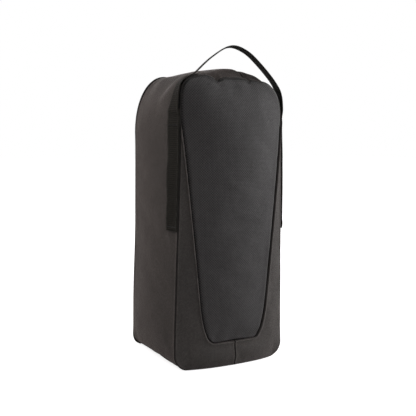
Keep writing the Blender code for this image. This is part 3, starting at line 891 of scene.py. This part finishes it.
def front_piece(name, grid, row_at, column_at, seams, finish, replaced, tuck=0.0, meet=None):
    """One skin of the front. seams pairs the edges (axis, end) of each kind of seam with its cross-section.

    tuck lets the edges of the first kind of seam run on under their neighbours. meet is the x at which
    the first row is sewn to the skin beside it.
    """
    fine = spline(spline(grid, row_at, 0), column_at, 1)
    facing = normals(fine, FRONT_OUT)
    distances = [np.minimum.reduce([from_edge(fine, *edge) for edge in edges]) for edges, _ in seams]
    nearest = np.minimum.reduce(distances)
    height = rumple(fine) * smooth(0, 9 * MM, nearest)
    height += folds(fine, FRONT_FOLDS, FRONT_Y) * smooth(0, 4 * MM, nearest)
    height += 0.15 * MM * ripple(fine, 11 * MM, 8.0) * bump(nearest - 5 * MM, 5 * MM)
    for distance, (_, section) in zip(distances, seams):
        height += seam_height(distance, *section)
    fine = sculpt(fine, facing, height)
    if tuck:
        fine[:, 0] += (-tuck, 0.4 * tuck, 0)
        fine[:, -1] += (tuck, 0.4 * tuck, 0)
        fine[0] += (0, 0.4 * tuck, -tuck)
    if meet is not None:
        fine[0, :, 0] = meet
    fine[..., 2] = np.maximum(fine[..., 2], 0.2 * MM)
    weave = np.stack([fine[..., 0], fine[..., 2]], axis=-1)
    # near the top seam the distance is cut by up to 1.3 mm, which widens the painted shade of the groove and
    # moves the lip's painted highlight outwards
    seam = np.maximum(nearest - 1.3 * MM * smooth(0.350, 0.370, fine[..., 2]), 0)
    return skin(name, fine, weave, FRONT_OUT, finish, "shell", replaced, seam=seam)


rows = fine_stations(len(filled_centre) - 1)
columns = fine_stations(filled_centre.shape[1] - 1)
under = (0.3 * MM, 4.5 * MM, 2.4 * MM, 1.5 * MM)
outer = (0.4 * MM, 2.0 * MM, 2.6 * MM, 0.85 * MM)
front_piece("front_centre", filled_centre, rows, columns,
            [([(0, False), (1, False), (1, True)], under), ([(0, True)], outer)],
            front_finish, ("front_centre_panel",), 1.5 * MM)
rows = fine_stations(len(filled_wing) - 1, True, False)
columns = fine_stations(WING_CELLS)
lip = (1.6 * MM, 2.1 * MM, 2.6 * MM, 0.85 * MM)
yoke_seam = (0.4 * MM, 1.6 * MM, 1.5 * MM, 0.7 * MM)
for side, grid, lap in (("right", filled_wing, -0.3 * MM), ("left", filled_wing_left, 0.3 * MM)):
    front_piece(f"front_wing_{side}_cloth", grid, rows, columns,
                [([(1, False)], lip), ([(1, True)], outer), ([(0, False)], yoke_seam)],
                shell_finish, (f"front_wing_{side}",), meet=FRONT_LEAN + lap)


# ---------------------------------------------------------------- webbing handle

HALF_SIDE = 0.0768
LOOP_TURN = math.radians(18)
LIE_GAP = 0.5 * MM
CAST = 30 * MM  # how far outside the path its rays start

# (x, z) of the free loop, in millimetres: it hugs the left shoulder and stands off the right one
LOOP = ((-80, 335), (-76, 347), (-65, 366), (-48, 384), (-25, 404), (0, 418), (23, 414), (45, 399), (71, 374),
        (79, 356), (75.5, 333))


def joint_at(name):
    return next(joint["pos_m"] for joint in frame["joints"] if joint["name"] == name)


def strap_path():
    """(x, z) along the whole strap, from the left end over the top to the right end, evenly spaced."""
    left = [(-HALF_SIDE, z) for z in np.arange(LEG_BOTTOM, 0.326, 0.008)]
    right = [(HALF_SIDE + 0.002, z) for z in np.arange(0.322, LEG_BOTTOM, -0.008)] + [(HALF_SIDE, LEG_BOTTOM)]
    control = np.array(left + [(x * MM, z * MM) for x, z in LOOP] + right)
    control = np.stack([control[:, 0], 0 * control[:, 0], control[:, 1]], axis=-1)[:, None, :]
    fine = spline(control, np.linspace(0, len(control) - 1, 3000), 0)[:, 0, (0, 2)]
    return resampled(fine, 2.0 * MM)


def gusset_tree():
    return BVHTree.FromPolygons(gusset.reshape(-1, 3).tolist(), grid_quads(gusset.shape).tolist())


tree, path = gusset_tree(), strap_path()
tangent = np.gradient(path, axis=0)
tangent /= np.linalg.norm(tangent, axis=1, keepdims=True)
out = np.stack([-tangent[:, 1], tangent[:, 0]], axis=1)
across = np.array((-1, -0.86, -0.6, -0.3, 0, 0.3, 0.6, 0.86, 1))
aside = across * WEB_WIDTH / 2
lifts = np.full((len(path), len(across)), -50 * MM)
for i, (p, n) in enumerate(zip(path, out)):
    for k, off in enumerate(aside):
        start = Vector((p[0] + CAST * n[0], max(WEB_Y + off, FRONT_Y), p[1] + CAST * n[1]))
        hit = tree.ray_cast(start, Vector((-n[0], 0, -n[1])), 2 * CAST)
        if hit[0]:
            lifts[i, k] = CAST - hit[3]
run = run_along(path)
from_end = np.minimum(run, run[-1] - run)
sewn_length = LEG_TOP - LEG_BOTTOM
is_free = smooth(sewn_length + 4 * MM, sewn_length + 32 * MM, from_end)[:, None]
lying = even(lifts, 4) + LIE_GAP + WEB_THICK / 2
flat = np.maximum(lifts.max(axis=1, keepdims=True) + LIE_GAP + WEB_THICK / 2, 0)
flat = even(flat, 6) + 0 * lifts
lift = mix(lying, flat, is_free)
steps = np.linspace(0, run[-1], int(run[-1] / (RIB_PITCH / 4)) + 1)


def along_strap(values):
    values = values.reshape(len(run), -1)
    return np.stack([np.interp(steps, run, values[:, i]) for i in range(values.shape[1])], axis=1)


fine_path, fine_out, fine_lift = along_strap(path), along_strap(out), along_strap(lift)
fine_end = np.minimum(steps, steps[-1] - steps)
edge = 1 - smooth(0.80, 0.97, np.abs(across))
rib = 0.26 * MM * np.cos(steps * 2 * math.pi / RIB_PITCH)[:, None] * edge
pinched = 0.35 * MM * bump(fine_end - 5 * MM, 1.2 * MM)[:, None] * edge
thick = WEB_THICK / 2 * (0.55 + 0.45 * np.sqrt(1 - 0.94 * across ** 2))[None, :]
shape_out = fine_lift + thick + rib - pinched
shape_in = fine_lift - thick + np.minimum(rib, 0)
# the free loop hangs a little askew, turned about the upright
askew = LOOP_TURN * smooth(sewn_length + 14 * MM, sewn_length + 60 * MM, fine_end)[:, None]


def strap_side(height):
    x = fine_path[:, :1] + fine_out[:, :1] * height + aside * np.sin(askew)
    z = fine_path[:, 1:] + fine_out[:, 1:] * height
    return np.stack([x, WEB_Y + aside * np.cos(askew), z], axis=-1)


strap_rings = np.concatenate([strap_side(shape_out), strap_side(shape_in)[:, ::-1]], axis=1)
strap_across = np.concatenate([aside, aside[::-1]])[None, :] + 0 * steps[:, None]
strap_weave = np.stack([strap_across, steps[:, None] + 0 * strap_across], axis=-1)
strap_mesh = tube_mesh("webbing_strap", strap_rings, strap_weave)
strap = add_piece("webbing_strap", strap_mesh, webbing_finish, None,
                  ("handle_leg_left", "handle_leg_right", "handle_loop"))
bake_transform(strap)

# Stitches that hold the webbing, laid on its outer face
outer_face = strap_side(shape_out)
out3 = np.stack([fine_out[:, 0], 0 * fine_out[:, 0], fine_out[:, 1]], axis=1)


def edge_stitches(side, face, ups):
    """A line of stitches along each edge of a sewn leg."""
    sewn_rows = (steps > 3.5 * MM) & (steps < sewn_length - 3 * MM)
    lines = []
    for column in (1, len(across) - 2):
        lines.append(stitch_row(face[sewn_rows, column], ups[sewn_rows], 2.4 * MM, 0.8 * MM, 0.05 * MM))
    starts, ends, dirs = (np.vstack(parts) for parts in zip(*lines))
    bead_piece(f"webbing_edge_stitches_{side}", starts, ends, dirs, 0.26 * MM, thread_finish, "shell")


def bartack(side, place, face, ups, centre):
    """A dense row of 27 slanted stitches over three quarters of the webbing's width."""
    shares = np.linspace(-0.75, 0.75, 27)

    def on_face(at, share):
        row = face[np.searchsorted(steps, at)]
        return np.stack([np.interp(share, across, row[:, i]) for i in range(3)], axis=1)

    up = ups[np.searchsorted(steps, centre)]
    starts = on_face(centre - 1.1 * MM, shares) + up * 0.1 * MM
    ends = on_face(centre + 1.1 * MM, shares + 0.03) + up * 0.1 * MM
    dirs = np.tile(up, (len(shares), 1))
    bead_piece(f"bartack_{place}_{side}_thread", starts, ends, dirs, 0.24 * MM, thread_finish, "shell",
               (f"bartack_{place}_{side}",), "thread")


for side, sign in (("left", 1), ("right", -1)):
    face, ups = outer_face[::sign], out3[::sign]
    edge_stitches(side, face, ups)
    bartack(side, "lower", face, ups, 5.0 * MM)
    bartack(side, "upper", face, ups, sewn_length - 5.0 * MM)


# ---------------------------------------------------------------- base, bindings and back

TAPE_Y = BACK_Y + 0.4 * MM
COIL_LOW, COIL_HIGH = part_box("zip_coil_gusset")
COIL_Y = (COIL_LOW[1] + COIL_HIGH[1]) / 2
ZIP_START = COIL_LOW[2]
DOOR_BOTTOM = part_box("back_door_panel")[0][2]
SILL_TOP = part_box("back_sill")[1][2]
DOOR_EDGE = 17.0 * MM
DOOR_FACE = BACK_Y + 1.9 * MM


def base_cloth():
    share = np.linspace(0, 1, 50)[:, None]
    reach = outline(STEPS[1], share)[0]
    x = np.linspace(-1, 1, 41)[None, :] * reach
    y = mix(FRONT_Y - slump(x, 0 * x) + 1.5 * MM, BACK_Y + 0.5 * MM, share)
    inside = np.minimum(reach - np.abs(x), np.minimum(y - y[0], y[-1] - y))
    sag = ripple(np.stack([x, y, 0 * x], axis=-1), 25 * MM, 4)
    z = 0.2 * MM + 0.5 * MM * smooth(0, 20 * MM, inside) * (0.5 + sag)
    grid = leaning(np.stack([x, y, z], axis=-1), share)
    skin("base_cloth", grid, grid[..., :2], -UP, shell_finish, "shell", ("base_panel",),
         seam=inside)


def binding(name, columns, node):
    """Tape folded over the raw edges of a seam, just inside the gusset."""
    strip = spline(spline(filled_gusset, np.arange(0, gusset_cells + 1e-6, 0.5), 0), np.array(columns), 1)
    inward = -normals(strip, strip - middle)
    inward[..., 1] = 0
    outer, inner = strip + inward * 2.2 * MM, strip + inward * 3.2 * MM
    rings = np.concatenate([outer, inner[:, ::-1]], axis=1)
    rings[..., 2] = np.maximum(rings[..., 2], 1.6 * MM)
    weave = np.stack([rings[..., 1], np.arange(len(rings))[:, None] * 2.3 * MM + 0 * rings[..., 1]], axis=-1)
    add_piece(name, tube_mesh(name, rings, weave), tape_finish, "shell", (node,))


def back_rim(inset, first, step=0.5):
    """Points (x, z), outward directions and stations along the back outline, right half, upwards."""
    station = np.arange(first, LAST + 1e-6, step)
    x, z = outline(station, 1.0)
    nx, nz = outward(station, 1.0)
    nx[-1], nz[-1] = 0, 1
    return np.stack([x - nx * inset, z - nz * inset], axis=1), np.stack([nx, nz], axis=1)


def both_sides(right):
    """Continues rows of (x, y, z) points from the right side over the top and down the left side."""
    left = right[:-1][::-1] * np.array((-1.0, 1.0, 1.0))
    return np.concatenate([right, left])


def back_strip(name, millimetres, first, body, node, start_z=None):
    """Carries a closed section of (inset, y) points round the back of the bag, as a zip tape."""
    section = [(inset * MM, BACK_Y + y * MM) for inset, y in millimetres]
    columns_made = []
    station = np.arange(first, LAST + 1e-6, 0.5)
    proud = 1.8 * MM * bump(station - (STEPS[3] + 9), 8) + 1.5 * MM * bump(station - (STEPS[1] + 4), 3)
    for inset, y in section:
        rim, out = back_rim(inset, first)
        if inset < 0.6 * MM:
            rim += out * proud[:, None]
        columns_made.append(np.stack([rim[:, 0], y + 0 * rim[:, 0], rim[:, 1]], axis=1))
    rings = np.stack(columns_made, axis=1)
    if start_z is not None:
        rings = rings[rings[:, :, 2].min(axis=1) > start_z]
        foot = rings[:1].copy()
        foot[..., 2] = start_z
        rings = np.concatenate([foot, rings])
    rings = both_sides(rings)
    length = run_along(rings[:, 0])
    insets = np.array([inset for inset, _ in section])
    weave = np.stack([insets[None, :] + 0 * length[:, None], length[:, None] + 0 * insets[None, :]], axis=-1)
    add_piece(name, tube_mesh(name, rings, weave), tape_finish, body, (node,))


def back_line(inset, y, first, start_z=0.0, step=1.0 * MM):
    """An even polyline of (x, y, z) points round the back of the bag, and its outward directions."""
    rim, out = back_rim(inset, first)
    line = np.hstack([rim, out])
    line = line[line[:, 1] >= start_z]
    if start_z:
        line = np.vstack([[line[0, 0], start_z, line[0, 2], line[0, 3]], line])
    points = both_sides(np.stack([line[:, 0], y + 0 * line[:, 0], line[:, 1]], axis=1))
    ups = both_sides(np.stack([line[:, 2], 0 * line[:, 0], line[:, 3]], axis=1))
    even_line = resampled(np.hstack([points, ups]), step)
    return even_line[:, :3], even_line[:, 3:]


def backwards(line):
    """The direction away from the back of the bag, once for each point."""
    return np.tile(-FRONT_OUT, (len(line), 1))


def coil_teeth(name, near, far, offset, body, node):
    """Moulded loops of the zip's coil, side by side along the tape."""
    pitch = 1.5 * MM
    line, out = back_line(near, COIL_Y, STEPS[2] - 2, ZIP_START, pitch / 4)
    line, out = line[offset::4], out[offset::4]
    ends = line - out * (far - near)
    bead_piece(name, line, ends, backwards(line), 0.56 * MM, coil_finish, body, (node,), "coil_nylon",
               arch=0.35 * MM)


def seam_stitches(name, inset, y, first, start_z, body):
    line, _ = back_line(inset, y, first, start_z)
    bars = stitch_row(line, backwards(line), 2.3 * MM, 0.9 * MM, 0.12 * MM)
    bead_piece(name, *bars, 0.2 * MM, thread_finish, body)


def back_height(x, z, top):
    across_share = np.minimum(np.abs(x) / (BACK_HALF - DOOR_EDGE), 1)
    up = np.minimum(np.abs(2 * (z - DOOR_BOTTOM) / (top - DOOR_BOTTOM) - 1), 1)
    return 6.5 * MM * (1 - across_share ** 2.6) * (1 - up ** 6)


def back_door():
    """The back panel inside the zip, softly filled, with its turned edge lying over the zip tape."""
    rim, _ = back_rim(DOOR_EDGE, STEPS[2] - 1, 1.0)
    side = rim[(rim[:, 1] > DOOR_BOTTOM + 3 * MM)][: -TOP]
    side = np.vstack([[side[0, 0], DOOR_BOTTOM], side])
    share = np.linspace(-1, 1, 2 * TOP + 1)[None, :]
    x, z = side[:, :1] * share, side[:, 1:] + 0 * share
    grid = np.stack([x, DOOR_FACE + back_height(x, z, z.max()), z], axis=-1)
    fine = spline(spline(grid, fine_stations(len(grid) - 1), 0), fine_stations(2 * TOP), 1)
    facing = normals(fine, -FRONT_OUT)
    edges = [from_edge(fine, axis, end) for axis in (0, 1) for end in (False, True)]
    nearest = np.minimum.reduce(edges)
    swells = rumple(fine * (1, 1, 0.7)) + 0.7 * MM * ripple(fine * (0.6, 1, 1.6), 30 * MM, 21.0)
    height = swells * smooth(0, 12 * MM, nearest)
    height += 0.4 * MM * ripple(fine, 8 * MM, 9.0) * bump(nearest - 5 * MM, 5 * MM)
    height += folds(fine, DOOR_FOLDS, DOOR_FACE)
    for edge_distance in edges[1:]:
        height += seam_height(edge_distance, 0.6 * MM, 1.8 * MM, 1.0 * MM, 0.7 * MM)
    height -= 0.8 * MM * bump(edges[0], 2 * MM)
    fine = sculpt(fine, facing, height)
    weave = np.stack([fine[..., 0], fine[..., 2]], axis=-1)
    skin("back_door_cloth", fine, weave, -FRONT_OUT, shell_finish, "back_door", ("back_door_panel",),
         seam=nearest)


def back_sill():
    """The fixed strip of the back below the fold."""
    z = np.linspace(1.2 * MM, SILL_TOP, 24)[:, None]
    corner = np.sqrt(BACK_FOOT ** 2 - (BACK_FOOT - np.minimum(z, BACK_FOOT)) ** 2)
    reach = BACK_HALF - BACK_FOOT + corner - 1.6 * MM
    x = np.linspace(-1, 1, 121)[None, :] * reach
    points = np.stack([x, DOOR_FACE + 0 * x, z + 0 * x], axis=-1)
    inside = np.minimum(reach - np.abs(x), z - 1.2 * MM)
    swell = 0.9 * MM * smooth(0, 6 * MM, inside)
    swell += 0.5 * MM * ripple(points, 14 * MM, 6.0) * smooth(0, 5 * MM, inside)
    points[..., 1] += swell - 0.8 * MM * bump(SILL_TOP - z, 2 * MM)
    weave = points[..., (0, 2)]
    skin("back_sill_cloth", points, weave, -FRONT_OUT, shell_finish, "shell", ("back_sill",),
         1.0 * MM, inside)


def back_fold():
    """A bound fold that joins the door to the sill."""
    z = np.linspace(SILL_TOP - 4.5 * MM, DOOR_BOTTOM + 4.5 * MM, 29)[:, None]
    reach = BACK_HALF - DOOR_EDGE - 0.6 * MM
    x = np.linspace(-reach, reach, 111)[None, :]
    middle_z = (SILL_TOP + DOOR_BOTTOM) / 2
    from_middle = np.abs(z - middle_z)
    dip = 0.8 * MM * bump(from_middle, 1.6 * MM) + 0.5 * MM * smooth(3.6 * MM, 5 * MM, from_middle)
    y = DOOR_FACE + 0.55 * MM - dip
    points = np.stack([x + 0 * z, y + 0 * x, z + 0 * x], axis=-1)
    points[..., 1] += 0.15 * MM * ripple(points, 9 * MM, 2.0)
    piece = skin("back_fold_tape", points, points[..., (2, 0)], -FRONT_OUT, tape_finish, None, (),
                 0.8 * MM)
    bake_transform(piece)
    rows = (("sill", SILL_TOP - 3.2 * MM, "shell"), ("door", DOOR_BOTTOM + 3.2 * MM, "back_door"))
    for name, z_at, body in rows:
        line = np.stack([x[0], DOOR_FACE + 0.55 * MM + 0 * x[0], z_at + 0 * x[0]], axis=1)
        bars = stitch_row(line, backwards(line), 2.3 * MM, 0.9 * MM, 0.1 * MM)
        bead_piece(f"fold_stitches_{name}", *bars, 0.2 * MM, thread_finish, body)


base_cloth()
binding("front_binding_tape", (0.45, 1.1, 1.8), "front_seam_binding")
binding("back_binding_tape", (DEPTH_CELLS - 2.2, DEPTH_CELLS - 1.5, DEPTH_CELLS - 0.8), "back_seam_binding")
# sections of the two tapes, in millimetres: (inset from the outline, y from the back edge)
GUSSET_TAPE = ((-0.7, -2.4), (-0.9, -0.8), (-0.3, 0.3), (0.8, 0.75), (2.2, 0.5), (9.0, 0.4), (9.0, -0.4),
               (1.8, -0.4), (0.7, -1.0), (0.4, -2.4))
DOOR_TAPE = ((13.7, 0.4), (18.0, 0.4), (22.0, 0.4), (22.0, -0.4), (13.7, -0.4))
back_strip("zip_tape_outer", GUSSET_TAPE, STEPS[1], "shell", "zip_tape_gusset")
back_strip("zip_tape_inner", DOOR_TAPE, STEPS[2] - 2, "back_door", "zip_tape_door", ZIP_START - 6 * MM)
coil_teeth("zip_coil_outer", 8.5 * MM, 11.2 * MM, 0, "shell", "zip_coil_gusset")
coil_teeth("zip_coil_inner", 11.5 * MM, 14.2 * MM, 2, "back_door", "zip_coil_door")
seam_stitches("zip_stitches_edge", 3.2 * MM, TAPE_Y, STEPS[2] - 1, 0.024, "shell")
seam_stitches("zip_stitches_coil", 7.4 * MM, TAPE_Y, STEPS[2] - 1, 0.024, "shell")
back_door()
back_sill()
back_fold()


# ---------------------------------------------------------------- zip slider and its pull

def slab(shape, low, high, round_off):
    """Adds a block with rounded edges to a bmesh."""
    low, high = Vector(low), Vector(high)
    made = bmesh.ops.create_cube(shape, size=1)["verts"]
    bmesh.ops.scale(shape, vec=high - low, verts=made)
    bmesh.ops.translate(shape, vec=(low + high) / 2, verts=made)
    edges = list({edge for vert in made for edge in vert.link_edges})
    bmesh.ops.bevel(shape, geom=edges, offset=round_off, segments=3, affect="EDGES", profile=0.5)


def solid_piece(name, shape, finish, body, replaced):
    mesh = bpy.data.meshes.new(name)
    shape.to_mesh(mesh)
    shape.free()
    piece = add_piece(name, mesh, finish, body, replaced)
    mesh.set_sharp_from_angle(angle=math.radians(50))
    return piece


SLIDE_LOW, SLIDE_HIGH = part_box("slider_body")
PULL_AXIS = joint_at("pull_swing")


def slider():
    """Cap with two flanges over the coils, and a bridge for the pull."""
    x, z = PULL_AXIS[0], PULL_AXIS[2]
    shape = bmesh.new()
    half = (SLIDE_HIGH[0] - SLIDE_LOW[0]) / 2
    low, top = BACK_Y + 0.8 * MM, BACK_Y + 4.2 * MM
    wide, bridge = 1.1 * MM, 4.4 * MM
    slab(shape, (x - half, top - 1.25 * MM, z - 6 * MM), (x + half, top, z + 6 * MM), 0.5 * MM)
    for sign in (-1, 1):
        inner, outer_x = x + sign * (half - 1.0 * MM), x + sign * half
        near, far = sorted((inner, outer_x))
        slab(shape, (near, low, z - 5.6 * MM), (far, top - 0.5 * MM, z + 5.6 * MM), 0.3 * MM)
    for end in (-1, 1):
        a, b = sorted((z + end * 2.6 * MM, z + end * bridge))
        slab(shape, (x - wide, top - 0.4 * MM, a), (x + wide, BACK_Y + 7.6 * MM, b), 0.4 * MM)
    under, over = BACK_Y + 6.9 * MM, BACK_Y + 8.1 * MM
    slab(shape, (x - wide, under, z - bridge), (x + wide, over, z + bridge), 0.5 * MM)
    solid_piece("zip_slider", shape, enamel_finish, "slider", ("slider_body",))


def pull_tab():
    """A flat tab with a window at the bridge and an eye that the grip is moulded round."""
    x, y, z = PULL_AXIS
    shape = bmesh.new()
    wide, thin = 3.3 * MM, 0.6 * MM
    for sign in (-1, 1):
        low, high = sorted((x + sign * 1.9 * MM, x + sign * wide))
        slab(shape, (low, y - thin, z - 16.8 * MM), (high, y + thin, z + 0.6 * MM), 0.25 * MM)
    slab(shape, (x - wide, y - 0.65 * MM, z - 0.65 * MM), (x + wide, y + 0.65 * MM, z + 0.65 * MM), 0.3 * MM)
    slab(shape, (x - wide, y - thin, z - 16.9 * MM), (x + wide, y + thin, z - 6.6 * MM), 0.25 * MM)
    solid_piece("zip_pull_tab", shape, enamel_finish, "pull", ("pull_tab",))


def pull_grip():
    """A moulded grip with a waist and raised ribs on both faces."""
    x, y, z = PULL_AXIS
    rings = []
    top, bottom = z - 15.5 * MM, z - 38.0 * MM
    turn = np.linspace(0, 2 * math.pi, 36, endpoint=False)
    squared_cos, squared_sin = (np.sign(wave) * np.abs(wave) ** 0.6 for wave in (np.cos(turn), np.sin(turn)))
    for share in np.linspace(0, 1, 90):
        cap = math.sqrt(max(1 - (2 * share - 1) ** 16, 0.0)) * 0.97 + 0.03
        waist = 1 - 0.12 * bump(share - 0.25, 0.2)
        ribbed = smooth(0.36, 0.42, share) * smooth(0.95, 0.9, share)
        rib = 0.30 * MM * max(math.sin(share * 9 * 2 * math.pi), 0) ** 0.6 * ribbed
        half_x, half_y = 3.8 * MM * waist * cap, (1.25 * MM + rib) * cap
        z_at = mix(top, bottom, share) + 0 * turn
        rings.append(np.stack([x + half_x * squared_cos, y + half_y * squared_sin, z_at], axis=-1))
    mesh = tube_mesh("zip_pull_grip", rings)
    add_piece("zip_pull_grip", mesh, rubber_finish, "pull", ("pull_grip",))


slider()
pull_tab()
pull_grip()
for name in ("zip_stop_left", "zip_stop_right"):
    stop = frame["nodes"][name]
    stop.data.materials.clear()
    stop.data.materials.append(coil_finish)


# ---------------------------------------------------------------- light, floor and camera

def face_along(obj, target):
    obj.rotation_euler = (Vector(target) - obj.location).to_track_quat("-Z", "Y").to_euler()


def softbox(name, place, target, size, power, colour=(1, 1, 1)):
    lamp = bpy.data.lights.new(name, "AREA")
    lamp.shape = "RECTANGLE"
    lamp.size, lamp.size_y = size
    lamp.energy = power
    lamp.color = colour
    obj = bpy.data.objects.new(name, lamp)
    bpy.context.scene.collection.objects.link(obj)
    obj.location = place
    face_along(obj, target)
    return obj


def studio_floor():
    """A wide pale floor. The sky behind it looks white to the camera, so there is no horizon."""
    x, y = np.meshgrid(np.linspace(-8, 8, 9), np.linspace(-8, 8, 9), indexing="ij")
    grid = np.stack([x, y, 0 * x], axis=-1)
    mesh = grid_mesh("studio_floor", grid, grid[..., :2], UP)
    floor = bpy.data.objects.new("studio_floor", mesh)
    bpy.context.scene.collection.objects.link(floor)
    mesh.materials.append(floor_finish)
    mesh.shade_smooth()


def sky(strength):
    world = bpy.data.worlds.new("studio")
    world.use_nodes = True
    tree = world.node_tree
    background = tree.nodes["Background"]
    background.inputs[0].default_value = (1, 1, 1, 1)
    seen = tree.nodes.new("ShaderNodeLightPath").outputs["Is Camera Ray"]
    level = tree.nodes.new("ShaderNodeMapRange")
    level.inputs["To Min"].default_value = strength
    level.inputs["To Max"].default_value = 1.0
    tree.links.new(seen, level.inputs["Value"])
    tree.links.new(level.outputs[0], background.inputs[1])
    bpy.context.scene.world = world


def camera(place, yaw, pitch, roll, lens):
    """Angles in degrees. yaw turns from +Y towards +X, and roll turns the camera about its view."""
    yaw, pitch, roll = (math.radians(a) for a in (yaw, pitch, roll))
    ahead = Vector((math.sin(yaw) * math.cos(pitch), math.cos(yaw) * math.cos(pitch), math.sin(pitch)))
    level = Vector((math.cos(yaw), -math.sin(yaw), 0))
    above = level.cross(ahead)
    right = level * math.cos(roll) + above * math.sin(roll)
    up = above * math.cos(roll) - level * math.sin(roll)
    data = bpy.data.cameras.new("studio_camera")
    data.lens, data.sensor_width = lens, 36.0
    data.clip_start = 0.01
    obj = bpy.data.objects.new("studio_camera", data)
    bpy.context.scene.collection.objects.link(obj)
    obj.matrix_world = Matrix.Translation(place) @ Matrix((right, up, -ahead)).transposed().to_4x4()
    bpy.context.scene.camera = obj


studio_floor()
sky(0.07)
softbox("right_light", (1.5, -0.35, 0.8), (0, 0, 0.2), (0.7, 1.0), 19)
softbox("right_fill", (1.2, -1.1, 0.75), (0, 0, 0.2), (0.7, 1.0), 4)
softbox("front_fill", (-0.3, -1.3, 1.3), (0, 0, 0.2), (1.0, 0.8), 5)
softbox("left_light", (-0.62, 0.45, 0.74), (-0.07, 0.05, 0.34), (0.3, 0.5), 3.2, (1.0, 0.91, 0.87))
softbox("back_fill", (0.5, 1.6, 0.9), (0, 0, 0.2), (1.0, 1.0), 5)
bpy.context.scene.view_settings.view_transform = "Standard"
camera((-0.472, -0.845, 0.301), 29.4, -5.8, 0.74, 60.2)
